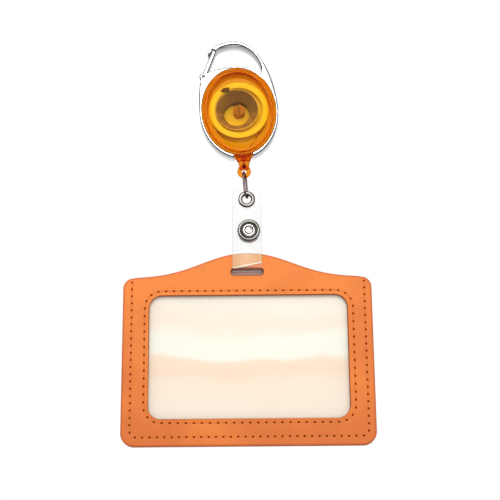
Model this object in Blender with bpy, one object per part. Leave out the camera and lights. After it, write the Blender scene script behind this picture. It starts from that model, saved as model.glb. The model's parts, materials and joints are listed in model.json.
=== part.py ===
"""Retractable badge holder, hanging by its snap ring.

A spring reel sits in a chrome ring with a snap gate. Its cord ends in a moulded eye, and a steel
link joins that eye to a clear strap, which a snap closes round the bar of a leather card holder.

The origin is the top of the loop's inside, where the holder hangs. X is to the right, Y to the
back and Z up. The reel leans in the ring's own plane, and all below it hangs straight down.
Reel sizes are measured from the spool's centre, in the leaning reel's own axes.
"""

import math

import bmesh
import bpy
from mathutils import Vector

MM = 0.001

# Gaps between pieces, and how far a cutter runs past what it cuts
SEAT_GAP = 0.1 * MM
REST_GAP = 0.3 * MM
RUN_GAP = 0.15 * MM
OVERRUN = 1.0 * MM

# Reel housing, two moulded halves that meet in the ring's middle plane
HOUSING_HALF_WIDTH = 17.1 * MM
HOUSING_HALF_HEIGHT = 21.6 * MM
HOUSING_LOW = 0.4 * MM
HOUSING_DEPTH = 9.8 * MM
HOUSING_WALL = 1.0 * MM
HOUSING_FILLET = 0.9 * MM
HOUSING_CROWN = 0.5 * MM
LIP_REACH = 0.4 * MM

# Snap ring, a flat casting round the housing with a crescent loop above it
REEL_LEAN = math.radians(5.2)
RING_SIDE = 1.4 * MM
RING_HALF_WIDTH = HOUSING_HALF_WIDTH + RING_SIDE
RING_FOOT = 2.4 * MM
RING_DROP = HOUSING_HALF_HEIGHT + RING_FOOT
LOOP_HEIGHT = 14.2 * MM
RING_RISE = HOUSING_HALF_HEIGHT + LOOP_HEIGHT
LEFT_SIDE_HEIGHT = 16.9 * MM
RING_LEFT_RISE = HOUSING_HALF_HEIGHT + LEFT_SIDE_HEIGHT
RING_DEPTH = 7.0 * MM
RING_EDGE = 0.3 * MM
ARC_WALL = 1.9 * MM
ARC_FOOT_SET = 3.0 * MM
ARC_FOOT = HOUSING_HALF_HEIGHT - ARC_FOOT_SET
ARC_LEFT_SET = 0.5 * MM
ARC_LEFT_REACH = HOUSING_HALF_WIDTH + ARC_LEFT_SET
LOOP_RIGHT_SET = 4.2 * MM
LOOP_RIGHT_REACH = HOUSING_HALF_WIDTH - LOOP_RIGHT_SET
LOOP_LEFT_SET = 0.2 * MM
LOOP_LEFT_REACH = HOUSING_HALF_WIDTH - LOOP_LEFT_SET
LOOP_CORNER_RADIUS = 1.4 * MM
CROSSBAR_WALL = 0.8 * MM
CROSSBAR_FALL = 1.6 * MM
EAR_RADIUS = 1.8 * MM

# Degrees round the ring's curves at which they start and end
ARC_LEFT_DEGREES = (90, 130)
INNER_LEFT_DEGREES = (116, 90)
INNER_RIGHT_DEGREES = (90, 6)
LOOP_CORNER_DEGREES = (-10, -110)
CROSSBAR_DEGREES = (55, 90)
EAR_DEGREES = (85, 185)
LEFT_SIDE_DEGREES = (154, 180)
KNUCKLE_DEGREES = (35, 325)

# Neck that the cord leaves by
NECK_HALF_WIDTH = 3.9 * MM
NECK_MOUTH_HALF_WIDTH = 3.0 * MM
NECK_HALF_DEPTH = 3.7 * MM
NECK_LENGTH = 3.4 * MM
NECK_DROP = HOUSING_HALF_HEIGHT + NECK_LENGTH
NECK_TAPER_LENGTH = 2.4 * MM
CORD_BORE_RADIUS = 1.2 * MM

# Snap gate with its pin and spring
GATE_PIVOT_INSET = 2.0 * MM
GATE_PIVOT_ACROSS = GATE_PIVOT_INSET - HOUSING_HALF_WIDTH
GATE_PIVOT_SET = 2.8 * MM
GATE_PIVOT_RISE = HOUSING_HALF_HEIGHT - GATE_PIVOT_SET
GATE_LEAN = math.radians(26.0)
GATE_LENGTH = 14.7 * MM
GATE_THICKNESS = 1.6 * MM
GATE_DEPTH = 4.8 * MM
GATE_SWING = math.radians(24.0)
KNUCKLE_RADIUS = 1.7 * MM
KNUCKLE_RECESS = 2.8 * MM
NOSE_GRIP = 4.1 * MM
NOSE_WALL = 1.0 * MM
PIN_RADIUS = 0.65 * MM
GATE_SPRING_WIRE = 0.35 * MM
GATE_SPRING_PITCH = 0.8 * MM
GATE_SPRING_TURNS = 2

# Spool, with the cord's groove outside and the spring's pocket inside
SPOOL_ROOM = 3.1 * MM
SPOOL_RADIUS = HOUSING_HALF_WIDTH - SPOOL_ROOM
SPOOL_FRONT = -3.3 * MM
SPOOL_BACK = 2.7 * MM
SPOOL_FLANGE = 0.75 * MM
GROOVE_DEPTH = 1.6 * MM
DRUM_RADIUS = SPOOL_RADIUS - GROOVE_DEPTH
DRUM_WALL = 1.1 * MM
POCKET_RADIUS = DRUM_RADIUS - DRUM_WALL
POCKET_FLOOR = 0.9 * MM
POST_RADIUS = 2.7 * MM
POST_FRONT = -3.0 * MM
POST_SLOT = 0.8 * MM
POST_SHOULDER = 0.9 * MM
HOOK_ANGLE = math.radians(115.0)
HOOK_NOTCH = 1.6 * MM

# Wound flat spring: the radius and set of its first turn and of its last, which lies low and left
SPRING_STRIP = 0.18 * MM
SPRING_WIDTH = 3.3 * MM
SPRING_TURNS = 4
SPRING_SLACK = 1.5 * MM
SPRING_OUTER_RADIUS = POCKET_RADIUS - SPRING_SLACK
SPRING_OUTER_SET = (-0.9 * MM, 0.4 * MM)
SPRING_INNER_RADIUS = 5.2 * MM
SPRING_INNER_SET = (-1.2 * MM, -1.7 * MM)

# Cord: outer layer on the drum, lead to the neck, and knot
CORD_RADIUS = 0.3 * MM
WINDING_TURNS = 3
WINDING_PITCH = 1.1 * MM
LEAD_ANGLE = math.radians(-34.5)
KNOT_RADIUS = 0.85 * MM

# Bends of the cord's lead: shares of its way across, down and forward from the drum to the neck
LEAD_WAY_SHARES = ((0.47, 0.53, 0.59), (0.80, 0.83, 0.22), (0.96, 1.0, 0.0))

# Moulded eye on the cord's end
EYE_RING_RADIUS = 2.15 * MM
EYE_RING_WIRE = 1.05 * MM
EYE_NECK_RADIUS = 2.6 * MM
EYE_WAIST_RADIUS = 2.4 * MM
EYE_HEIGHT = 7.6 * MM
EYE_TOP_GAP = 0.4 * MM
KNOT_ROOM = 1.15 * MM
CORD_ROOM = 0.55 * MM

# Steel link
LINK_WIRE = 0.5 * MM
LINK_BEND_RADIUS = 2.8 * MM
LINK_TWIST = math.radians(13.0)
LINK_TOP_PLAY = 0.15 * MM
LINK_FOOT_PLAY = 0.55 * MM

# Clear strap, one strip folded round the holder's bar
STRAP_WIDTH = 13.4 * MM
STRAP_THICKNESS = 0.5 * MM
STRAP_CORNER = 3.0 * MM
STRAP_TOP_MARGIN = 4.6 * MM
FLAP_LENGTH = 21.0 * MM
FLAP_TOP_SET = 1.45 * MM
EYELET_TO_SNAP = 15.1 * MM
SNAP_TO_PEAK = 11.2 * MM
SNAP_SET = 0.8 * MM
SNAP_HALF_STACK = 1.2 * MM
CHAIN_SHIFT = 1.1 * MM

# Eyelet
EYELET_BORE = 2.0 * MM
EYELET_BARREL = 0.35 * MM
EYELET_FLANGE_RADIUS = 3.9 * MM
EYELET_FLANGE = 0.35 * MM
EYELET_REAR_BEVEL = 0.5 * MM
WASHER_THICKNESS = 0.2 * MM

# Press snap, four pressings
SNAP_RADIUS = 5.4 * MM
SNAP_RIM_RADIUS = 0.7 * MM
SNAP_POST_RADIUS = 1.3 * MM
SNAP_CAP_DEPTH = 1.3 * MM
SNAP_PLATE = 0.4 * MM
SOCKET_RADIUS = 4.4 * MM
SOCKET_BORE = 2.0 * MM
STUD_RADIUS = 1.5 * MM
STUD_LENGTH = 1.3 * MM

# Leather holder: two panels, with a film and a lining between them
SHOULDER_FALL = 11.4 * MM
BELL_HALF_WIDTH = 27.3 * MM
BELL_SHARPNESS = 2.2
SHOULDER_RADIUS = 4.8 * MM
FOOT_RADIUS = 6.0 * MM
PANEL_THICKNESS = 1.0 * MM
PANEL_EDGE = 0.25 * MM
POCKET_GAP = 0.9 * MM
RIM_WIDTH = 5.5 * MM
FILM_THICKNESS = 0.25 * MM
LINING_THICKNESS = 0.3 * MM
WINDOW_WIDTH = 88.0 * MM
WINDOW_SIDE_BORDER = 12.2 * MM
HOLDER_WIDTH = WINDOW_WIDTH + WINDOW_SIDE_BORDER * 2
WINDOW_HEIGHT = 54.9 * MM
WINDOW_RADIUS = 5.5 * MM
WINDOW_FOOT_BORDER = 12.0 * MM
WINDOW_TOP_BORDER = 20.5 * MM
HOLDER_PEAK_HEIGHT = WINDOW_FOOT_BORDER + WINDOW_HEIGHT + WINDOW_TOP_BORDER
SLOT_WIDTH = 14.6 * MM
SLOT_HEIGHT = 3.2 * MM
BAR_HEIGHT = 7.2 * MM
FILM_LAP = 4.5 * MM
SEAM_WIDTH = 0.5 * MM
SEAM_RISE = 0.25 * MM
OUTER_SEAM_INSET = 4.0 * MM
INNER_SEAM_SET = 2.3 * MM
SEAM_TOP_DROP = 2.0 * MM

# How finely curves are divided
OVAL_POINTS = 48
ROUND_POINTS = 36
CORNER_POINTS = 5
TURN_POINTS = 24

# Places worked out from the sizes
LOOP_TOP = RING_RISE - ARC_WALL
SPOOL_ACROSS = LOOP_TOP * math.sin(REEL_LEAN)
SPOOL_RISE = -LOOP_TOP * math.cos(REEL_LEAN)
CORD_ACROSS = SPOOL_ACROSS + NECK_DROP * math.sin(REEL_LEAN)
EYE_TOP = SPOOL_RISE - NECK_DROP * math.cos(REEL_LEAN) - EYE_TOP_GAP
EYE_RING_RISE = EYE_TOP - EYE_HEIGHT + EYE_RING_RADIUS + EYE_RING_WIRE
EYE_HOLE_FOOT = EYE_RING_RISE - EYE_RING_RADIUS + EYE_RING_WIRE
LINK_TOP = EYE_HOLE_FOOT + LINK_TOP_PLAY + LINK_WIRE
CHAIN_ACROSS = CORD_ACROSS + CHAIN_SHIFT
LINK_LENGTH = 12.2 * MM
LINK_FOOT = LINK_TOP - LINK_LENGTH
EYELET_RISE = LINK_FOOT + LINK_WIRE + LINK_FOOT_PLAY - EYELET_BORE
STRAP_TOP = EYELET_RISE + STRAP_TOP_MARGIN
SNAP_RISE = EYELET_RISE - EYELET_TO_SNAP
PEAK_RISE = SNAP_RISE - SNAP_TO_PEAK
STACK_HALF = PANEL_THICKNESS + (FILM_THICKNESS + POCKET_GAP + LINING_THICKNESS) / 2
SLOT_TOP = PEAK_RISE - BAR_HEIGHT
HOLDER_FOOT = PEAK_RISE - HOLDER_PEAK_HEIGHT
SHOULDER_RISE = PEAK_RISE - SHOULDER_FALL
STRAP_SET = STACK_HALF + REST_GAP + STRAP_THICKNESS / 2
SNAP_STRAP_SET = SNAP_HALF_STACK + STRAP_THICKNESS / 2
HOLDER_SWING_RISE = PEAK_RISE + STRAP_THICKNESS * 5
FLAP_FOOT = HOLDER_SWING_RISE + STRAP_THICKNESS * 2
FLAP_TOP = FLAP_FOOT + FLAP_LENGTH
SNAP_ACROSS = CHAIN_ACROSS + SNAP_SET
HALF_STRIP = STRAP_THICKNESS / 2

# Front of the snap's cap from its middle outwards, as shares of its radius and depth
SNAP_FACE_SHARES = (
    (0.07, 0.62), (0.17, 0.60), (0.23, 0.42), (0.35, 0.40), (0.39, 0.70), (0.47, 0.72),
    (0.51, 0.22), (0.77, 0.22), (0.81, 0.74), (0.89, 1.00), (0.97, 0.86), (1.00, 0.45), (0.96, 0.05),
)


def clear_scene():
    for item in list(bpy.data.objects):
        bpy.data.objects.remove(item, do_unlink=True)


def finish(name, colour, roughness, metallic=0.0, alpha=1.0):
    """A material of one plain colour."""
    made = bpy.data.materials.new(name)
    made.use_nodes = True
    shader = made.node_tree.nodes["Principled BSDF"]
    shader.inputs["Base Color"].default_value = (*colour, 1.0)
    shader.inputs["Roughness"].default_value = roughness
    shader.inputs["Metallic"].default_value = metallic
    shader.inputs["Alpha"].default_value = alpha
    made.diffuse_color = (*colour, alpha)
    return made


def axis_at(name, place, parent=None, lean=0.0):
    """An empty on a joint's axis, which carries the pieces that turn or slide there."""
    empty = bpy.data.objects.new(name, None)
    empty.location = place
    empty.rotation_euler.y = -lean
    empty.parent = parent
    bpy.context.collection.objects.link(empty)
    return empty


def add_piece(name, mesh, look, carrier):
    """An object for a mesh whose points are already measured from its carrier."""
    piece = bpy.data.objects.new(name, mesh)
    piece.data.materials.append(look)
    piece.parent = carrier
    bpy.context.collection.objects.link(piece)
    return piece


def skin(name, rings, look, carrier, ring_closed=False):
    """A closed solid through rings of equally many points, capped at both ends or joined round."""
    build = bmesh.new()
    away = Vector(carrier.location)
    loops = [[build.verts.new(Vector(point) - away) for point in ring] for ring in rings]
    pairs = list(zip(loops, loops[1:]))
    if ring_closed:
        pairs.append((loops[-1], loops[0]))
    else:
        build.faces.new(loops[0])
        build.faces.new(loops[-1])
    for first, second in pairs:
        for i in range(len(first)):
            j = (i + 1) % len(first)
            build.faces.new((first[i], first[j], second[j], second[i]))
    bmesh.ops.recalc_face_normals(build, faces=build.faces)
    mesh = bpy.data.meshes.new(name)
    build.to_mesh(mesh)
    build.free()
    mesh.shade_smooth()
    mesh.set_sharp_from_angle(angle=math.radians(35.0))
    return add_piece(name, mesh, look, carrier)


def swollen(outline, distance):
    """A closed outline moved outward by a distance, or inward by a negative one."""
    count = len(outline)
    area = sum(
        outline[i][0] * outline[(i + 1) % count][1] - outline[(i + 1) % count][0] * outline[i][1]
        for i in range(count)
    )
    turn = 1.0 if area > 0 else -1.0
    moved = []
    for i in range(count):
        before, here, after = (Vector(outline[(i + step) % count]) for step in (-1, 0, 1))
        back = (here - before).normalized()
        on = (after - here).normalized()
        back_normal = Vector((back.y, -back.x)) * turn
        on_normal = Vector((on.y, -on.x)) * turn
        mitre = (back_normal + on_normal) / (1.0 + max(back_normal.dot(on_normal), -0.5))
        moved.append(tuple(here + mitre * distance))
    return moved


def plate(name, outlines, front, back, look, carrier, edge=0.0):
    """A flat plate in the XZ plane. Outlines after the first are holes, and its edges are rounded."""
    if edge:
        angles = (0.0, math.pi / 4, math.pi / 2)
        start = [(edge * (1 - math.sin(a)), front + edge * (1 - math.cos(a))) for a in angles]
        end = [(inset, front + back - depth) for inset, depth in reversed(start)]
        levels = start + end
    else:
        levels = [(0.0, front), (0.0, back)]
    build = bmesh.new()
    away = Vector(carrier.location)
    caps = ([], [])
    for number, outline in enumerate(outlines):
        side = 1.0 if number else -1.0
        loops = []
        for inset, depth in levels:
            ring = swollen(outline, side * inset)
            loops.append([build.verts.new(Vector((x, depth, z)) - away) for x, z in ring])
        for first, second in zip(loops, loops[1:]):
            for i in range(len(first)):
                j = (i + 1) % len(first)
                build.faces.new((first[i], first[j], second[j], second[i]))
        for cap, loop in zip(caps, (loops[0], loops[-1])):
            for i in range(len(loop)):
                cap.append(build.edges.get((loop[i], loop[(i + 1) % len(loop)])))
    for cap in caps:
        bmesh.ops.triangle_fill(build, use_beauty=True, edges=cap)
    bmesh.ops.recalc_face_normals(build, faces=build.faces)
    mesh = bpy.data.meshes.new(name)
    build.to_mesh(mesh)
    build.free()
    mesh.shade_smooth()
    mesh.set_sharp_from_angle(angle=math.radians(50.0))
    return add_piece(name, mesh, look, carrier)


def circle(radius, depth, centre, count=ROUND_POINTS):
    """A ring of points about an axis along Y."""
    turn = math.tau / count
    return [
        (centre[0] + radius * math.cos(i * turn), depth, centre[1] + radius * math.sin(i * turn))
        for i in range(count)
    ]


def turned(name, profile, centre, look, carrier, solid=False, count=ROUND_POINTS):
    """A piece turned about an axis along Y, from radii and depths."""
    rings = [circle(radius, depth, centre, count) for radius, depth in profile]
    return skin(name, rings, look, carrier, ring_closed=not solid)


def upright(name, profile, centre, look, carrier, count=ROUND_POINTS):
    """A solid turned about an axis along Z, from radii and heights."""
    turn = math.tau / count
    rings = [
        [
            (centre[0] + radius * math.cos(i * turn), centre[1] + radius * math.sin(i * turn), rise)
            for i in range(count)
        ]
        for radius, rise in profile
    ]
    return skin(name, rings, look, carrier)


def tube(name, points, radius, look, carrier, resolution=1, cyclic=False):
    """A round wire or cord along a list of points."""
    curve = bpy.data.curves.new(name, "CURVE")
    curve.dimensions = "3D"
    curve.bevel_depth = radius
    curve.bevel_resolution = resolution
    curve.use_fill_caps = True
    spline = curve.splines.new("POLY")
    spline.points.add(len(points) - 1)
    away = Vector(carrier.location)
    for target, point in zip(spline.points, points):
        target.co = (*(Vector(point) - away), 1.0)
    spline.use_cyclic_u = cyclic
    return add_piece(name, curve, look, carrier)


def shape_with(piece, tool, how):
    """Cut a piece by a tool, or join the tool to it, and keep the tool as a hidden guide."""
    change = piece.modifiers.new(tool.name, "BOOLEAN")
    change.operation = how
    change.solver = "EXACT"
    change.object = tool
    tool.hide_render = True
    tool.display_type = "WIRE"


def arc(centre, radii, start, end, count):
    """Points on an elliptic arc in the XZ plane, its angles in degrees."""
    points = []
    for i in range(count):
        angle = math.radians(start + (end - start) * i / (count - 1))
        points.append((centre[0] + radii[0] * math.cos(angle), centre[1] + radii[1] * math.sin(angle)))
    return points


def least_gap(points, turn_points, thickness):
    """The least clear space between a wound line and its own next turn."""
    least = math.inf
    skip = turn_points // 2
    for i, here in enumerate(points):
        for other in points[i + skip:]:
            least = min(least, math.dist(here, other))
    return least - thickness


def gate_point(along, across):
    """A place beside the closed gate: along it from its pivot, and across it towards the outside."""
    x = GATE_PIVOT_ACROSS + along * math.sin(GATE_LEAN) - across * math.cos(GATE_LEAN)
    z = GATE_PIVOT_RISE + along * math.cos(GATE_LEAN) + across * math.sin(GATE_LEAN)
    return (x, z)


def ring_outline():
    """The snap ring from the front as one line. Its loop opens at the gate, its reel seat at the neck."""
    hole_half_width = HOUSING_HALF_WIDTH + REST_GAP
    hole_half_height = HOUSING_HALF_HEIGHT + REST_GAP
    neck_room = NECK_HALF_WIDTH + REST_GAP
    neck_angle = math.degrees(math.acos(neck_room / RING_HALF_WIDTH))
    hole_angle = math.degrees(math.acos(neck_room / hole_half_width))
    right_side = arc((0, 0), (RING_HALF_WIDTH, RING_DROP), -neck_angle, 0, 16)
    right_top = arc((0, 0), (RING_HALF_WIDTH, RING_RISE), 0, 90, 20)[1:]
    left_top = arc((0, ARC_FOOT), (ARC_LEFT_REACH, RING_RISE - ARC_FOOT), *ARC_LEFT_DEGREES, 8)[1:]
    grip = GATE_THICKNESS / 2 + REST_GAP
    gate_end = GATE_LENGTH + REST_GAP
    nose = [
        gate_point(gate_end - NOSE_GRIP / 2, grip + NOSE_WALL),
        gate_point(gate_end - NOSE_GRIP + NOSE_WALL / 2, grip + NOSE_WALL),
        gate_point(gate_end - NOSE_GRIP, grip + NOSE_WALL / 2),
        gate_point(gate_end - NOSE_GRIP, grip),
        gate_point(gate_end, grip),
        gate_point(gate_end, -GATE_THICKNESS / 2),
    ]
    inner_rise = LOOP_TOP - ARC_FOOT
    inner_left = arc((0, ARC_FOOT), (LOOP_LEFT_REACH, inner_rise), *INNER_LEFT_DEGREES, 8)
    inner_right = arc((0, ARC_FOOT), (LOOP_RIGHT_REACH, inner_rise), *INNER_RIGHT_DEGREES, 14)[1:]
    corner_centre = (LOOP_RIGHT_REACH - LOOP_CORNER_RADIUS, ARC_FOOT + REST_GAP)
    corner = arc(corner_centre, (LOOP_CORNER_RADIUS, LOOP_CORNER_RADIUS), *LOOP_CORNER_DEGREES, 6)
    bar_half_width = hole_half_width + CROSSBAR_WALL
    bar_half_height = hole_half_height + CROSSBAR_WALL
    bar_right = arc((0, -HOUSING_LOW), (bar_half_width, bar_half_height), *CROSSBAR_DEGREES, 8)
    bar_top = bar_half_height - HOUSING_LOW
    bar_reach = -GATE_PIVOT_ACROSS - EAR_RADIUS
    bar_left = [(-bar_reach * i / 6, bar_top - CROSSBAR_FALL * (i / 6) ** 2) for i in range(1, 7)]
    pivot = (GATE_PIVOT_ACROSS, GATE_PIVOT_RISE)
    ear = arc(pivot, (EAR_RADIUS, EAR_RADIUS), *EAR_DEGREES, 8)
    left_side = arc((0, 0), (RING_HALF_WIDTH, RING_LEFT_RISE), *LEFT_SIDE_DEGREES, 7)
    left_foot = arc((0, 0), (RING_HALF_WIDTH, RING_DROP), 180, 180 + neck_angle, 16)[1:]
    hole_radii = (hole_half_width, hole_half_height)
    seat = arc((0, -HOUSING_LOW), hole_radii, 180 + hole_angle, -hole_angle, 44)
    outside = right_side + right_top + left_top + nose
    loop = inner_left + inner_right + corner + bar_right + bar_left
    return outside + loop + ear + left_side + left_foot + seat


def snap_ring(look, reel, gate_axis):
    ring = plate("carabiner_frame", [ring_outline()], -RING_DEPTH / 2, RING_DEPTH / 2, look, reel, RING_EDGE)
    # Fork that the gate's knuckle and the foot of its bar turn in
    half_slot = GATE_DEPTH / 2 + REST_GAP
    room = KNUCKLE_RADIUS + REST_GAP
    closed = math.pi / 2 - GATE_LEAN
    opened = closed - GATE_SWING
    reach = KNUCKLE_RADIUS * 4
    low = -(GATE_THICKNESS / 2 + REST_GAP)
    pivot = (GATE_PIVOT_ACROSS, GATE_PIVOT_RISE)
    wedge = [gate_point(0, room), gate_point(reach, room)]
    for along in (reach, 0):
        x = pivot[0] + along * math.cos(opened) - low * math.sin(opened)
        z = pivot[1] + along * math.sin(opened) + low * math.cos(opened)
        wedge.append((x, z))
    knuckle_room = turned("fork_room", [(room, -half_slot), (room, half_slot)], pivot, look, gate_axis, True)
    sweep_room = plate("sweep_room", [wedge], -half_slot, half_slot, look, gate_axis)
    pin_half = RING_DEPTH / 2 + OVERRUN
    bore = PIN_RADIUS + SEAT_GAP
    pin_room = turned("pin_room", [(bore, -pin_half), (bore, pin_half)], pivot, look, gate_axis, True, 16)
    for tool in (knuckle_room, sweep_room, pin_room):
        shape_with(ring, tool, "DIFFERENCE")
    return pin_room


def gate(look, gate_axis, pin_room):
    half = GATE_THICKNESS / 2
    start = math.degrees(math.pi / 2 - GATE_LEAN)
    centre = (GATE_PIVOT_ACROSS, GATE_PIVOT_RISE)
    radii = (KNUCKLE_RADIUS, KNUCKLE_RADIUS)
    knuckle = arc(centre, radii, start + KNUCKLE_DEGREES[0], start + KNUCKLE_DEGREES[1], 16)
    bar = [
        gate_point(GATE_LENGTH - half / 2, -half),
        gate_point(GATE_LENGTH, -half / 2),
        gate_point(GATE_LENGTH, half / 2),
        gate_point(GATE_LENGTH - half / 2, half),
    ]
    half_depth = GATE_DEPTH / 2
    bar_and_knuckle = plate("gate", [knuckle + bar], -half_depth, half_depth, look, gate_axis, RING_EDGE)
    recess = KNUCKLE_RECESS / 2
    room = KNUCKLE_RADIUS + REST_GAP
    spring_room = turned("spring_room", [(room, -recess), (room, recess)], centre, look, gate_axis, True, 24)
    for tool in (spring_room, pin_room):
        shape_with(bar_and_knuckle, tool, "DIFFERENCE")


def gate_pin(look, reel):
    half = RING_DEPTH / 2
    round_over = PIN_RADIUS / 3
    profile = [
        (PIN_RADIUS - round_over, -half),
        (PIN_RADIUS, -half + round_over),
        (PIN_RADIUS, half - round_over),
        (PIN_RADIUS - round_over, half),
    ]
    turned("gate_pin", profile, (GATE_PIVOT_ACROSS, GATE_PIVOT_RISE), look, reel, True, 16)


def gate_spring(look, reel):
    """A small coil on the pin. One leg lies along the gate's inside, the other in the fork."""
    radius = PIN_RADIUS + GATE_SPRING_WIRE + SEAT_GAP
    along_gate = math.pi / 2 - GATE_LEAN
    start = along_gate - math.pi / 2
    steps = 12 * GATE_SPRING_TURNS
    points = []
    depth = -GATE_SPRING_PITCH * GATE_SPRING_TURNS / 2
    leg = KNUCKLE_RADIUS * 2
    for i in range(steps + 1):
        angle = start - math.tau * i / 12
        x = GATE_PIVOT_ACROSS + radius * math.cos(angle)
        z = GATE_PIVOT_RISE + radius * math.sin(angle)
        points.append((x, depth + GATE_SPRING_PITCH * i / 12, z))
    first = Vector(points[0])
    last = Vector(points[-1])
    gate_leg = first + Vector((math.cos(along_gate), 0, math.sin(along_gate))) * leg
    fork_leg = last - Vector((math.cos(along_gate), 0, math.sin(along_gate))) * (leg * 0.3)
    points = [gate_leg, first + (gate_leg - first) * 0.5] + points + [fork_leg]
    tube("gate_spring", points, GATE_SPRING_WIRE / 2, look, reel)
    gap = least_gap([tuple(point) for point in points[2:-1]], 12, GATE_SPRING_WIRE)
    print("gate spring least gap, mm:", round(gap / MM, 2))


def oval(half_width, half_height, depth):
    turn = math.tau / OVAL_POINTS
    return [
        (half_width * math.cos(i * turn), depth, half_height * math.sin(i * turn) - HOUSING_LOW)
        for i in range(OVAL_POINTS)
    ]


def cover_shell(name, side, crown, look, reel):
    """Half of the housing, a thin oval cup whose mouth is in the middle plane. Side is -1 in front."""
    face = HOUSING_DEPTH / 2
    lip = face - HOUSING_FILLET - REST_GAP / 2
    lip_back = RING_DEPTH / 2 + REST_GAP
    slope = HOUSING_FILLET * 0.3
    outer = [
        (0.0, 0.0),
        (0.0, lip_back),
        (LIP_REACH, lip_back),
        (LIP_REACH, lip),
        (LIP_REACH - slope, face - slope),
        (LIP_REACH - HOUSING_FILLET * 1.5, face),
    ]
    inner_face = face - HOUSING_WALL
    inner = [
        (-HOUSING_WALL - HOUSING_FILLET, inner_face),
        (-HOUSING_WALL, inner_face - HOUSING_FILLET),
        (-HOUSING_WALL, 0.0),
    ]
    rings = [
        oval(HOUSING_HALF_WIDTH + grow, HOUSING_HALF_HEIGHT + grow, side * depth) for grow, depth in outer
    ]
    if crown:
        for share in (0.75, 0.5, 0.25):
            rise = crown * (1 - share * share)
            rings.append(oval(HOUSING_HALF_WIDTH * share, HOUSING_HALF_HEIGHT * share, side * (face + rise)))
    inside = [
        oval(HOUSING_HALF_WIDTH + grow, HOUSING_HALF_HEIGHT + grow, side * depth) for grow, depth in inner
    ]
    return cup(name, rings, inside, look, reel)


def cup(name, outer_rings, inner_rings, look, carrier):
    """A cup: the outer rings run from its mouth to its face, the inner ones from its floor to its mouth."""
    build = bmesh.new()
    outer = [[build.verts.new(point) for point in ring] for ring in outer_rings]
    inner = [[build.verts.new(point) for point in ring] for ring in inner_rings]
    build.faces.new(outer[-1])
    build.faces.new(inner[0])
    pairs = list(zip(outer, outer[1:])) + list(zip(inner, inner[1:])) + [(inner[-1], outer[0])]
    for first, second in pairs:
        for i in range(len(first)):
            j = (i + 1) % len(first)
            build.faces.new((first[i], first[j], second[j], second[i]))
    bmesh.ops.recalc_face_normals(build, faces=build.faces)
    mesh = bpy.data.meshes.new(name)
    build.to_mesh(mesh)
    build.free()
    mesh.shade_smooth()
    mesh.set_sharp_from_angle(angle=math.radians(35.0))
    return add_piece(name, mesh, look, carrier)


def neck_half(name, side, look, reel):
    """Half of the tapered neck, a half round block under the housing."""
    root = -HOUSING_LOW - HOUSING_HALF_HEIGHT + HOUSING_WALL * 0.55
    levels = [
        (NECK_HALF_WIDTH, NECK_HALF_DEPTH, root),
        (NECK_HALF_WIDTH, NECK_HALF_DEPTH, -NECK_DROP + NECK_TAPER_LENGTH),
        (
            (NECK_HALF_WIDTH + NECK_MOUTH_HALF_WIDTH) / 2,
            NECK_MOUTH_HALF_WIDTH + REST_GAP,
            -NECK_DROP + NECK_TAPER_LENGTH / 2,
        ),
        (NECK_MOUTH_HALF_WIDTH, NECK_MOUTH_HALF_WIDTH, -NECK_DROP),
    ]
    rings = []
    for half_width, half_depth, rise in levels:
        half_round = arc((0, 0), (half_width, half_depth), 0, 180, 13)
        rings.append([(x, side * depth, rise) for x, depth in half_round])
    return skin(name, rings, look, reel)


def housing(look, reel):
    """Front and rear halves, the rear one with the split post that the spool turns on."""
    bore = [(CORD_BORE_RADIUS, -NECK_DROP - OVERRUN), (CORD_BORE_RADIUS, -SPOOL_RADIUS - OVERRUN)]
    cord_room = upright("cord_room", bore, (0, 0), look, reel, 16)
    covers = {}
    for name, side, crown in (("front_cover", -1, HOUSING_CROWN), ("rear_cover", 1, 0.0)):
        covers[name] = cover_shell(name, side, crown, look, reel)
        shape_with(covers[name], neck_half(name + "_neck", side, look, reel), "UNION")
        shape_with(covers[name], cord_room, "DIFFERENCE")
    floor = HOUSING_DEPTH / 2 - HOUSING_WALL / 2
    shoulder = SPOOL_BACK + REST_GAP
    tip = POST_RADIUS * 0.1
    profile = [
        (POST_RADIUS - tip, POST_FRONT),
        (POST_RADIUS, POST_FRONT + tip),
        (POST_RADIUS, shoulder),
        (POST_RADIUS + POST_SHOULDER, shoulder),
        (POST_RADIUS + POST_SHOULDER, floor),
    ]
    post = turned("post_stem", profile, (0, 0), look, reel, True, 24)
    shape_with(covers["rear_cover"], post, "UNION")
    half = POST_SLOT / 2
    reach = POST_RADIUS + OVERRUN
    slot_outline = [(-half, -reach), (half, -reach), (half, reach), (-half, reach)]
    slot_room = plate("post_slot", [slot_outline], POST_FRONT - OVERRUN, POCKET_FLOOR, look, reel)
    shape_with(covers["rear_cover"], slot_room, "DIFFERENCE")


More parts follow.
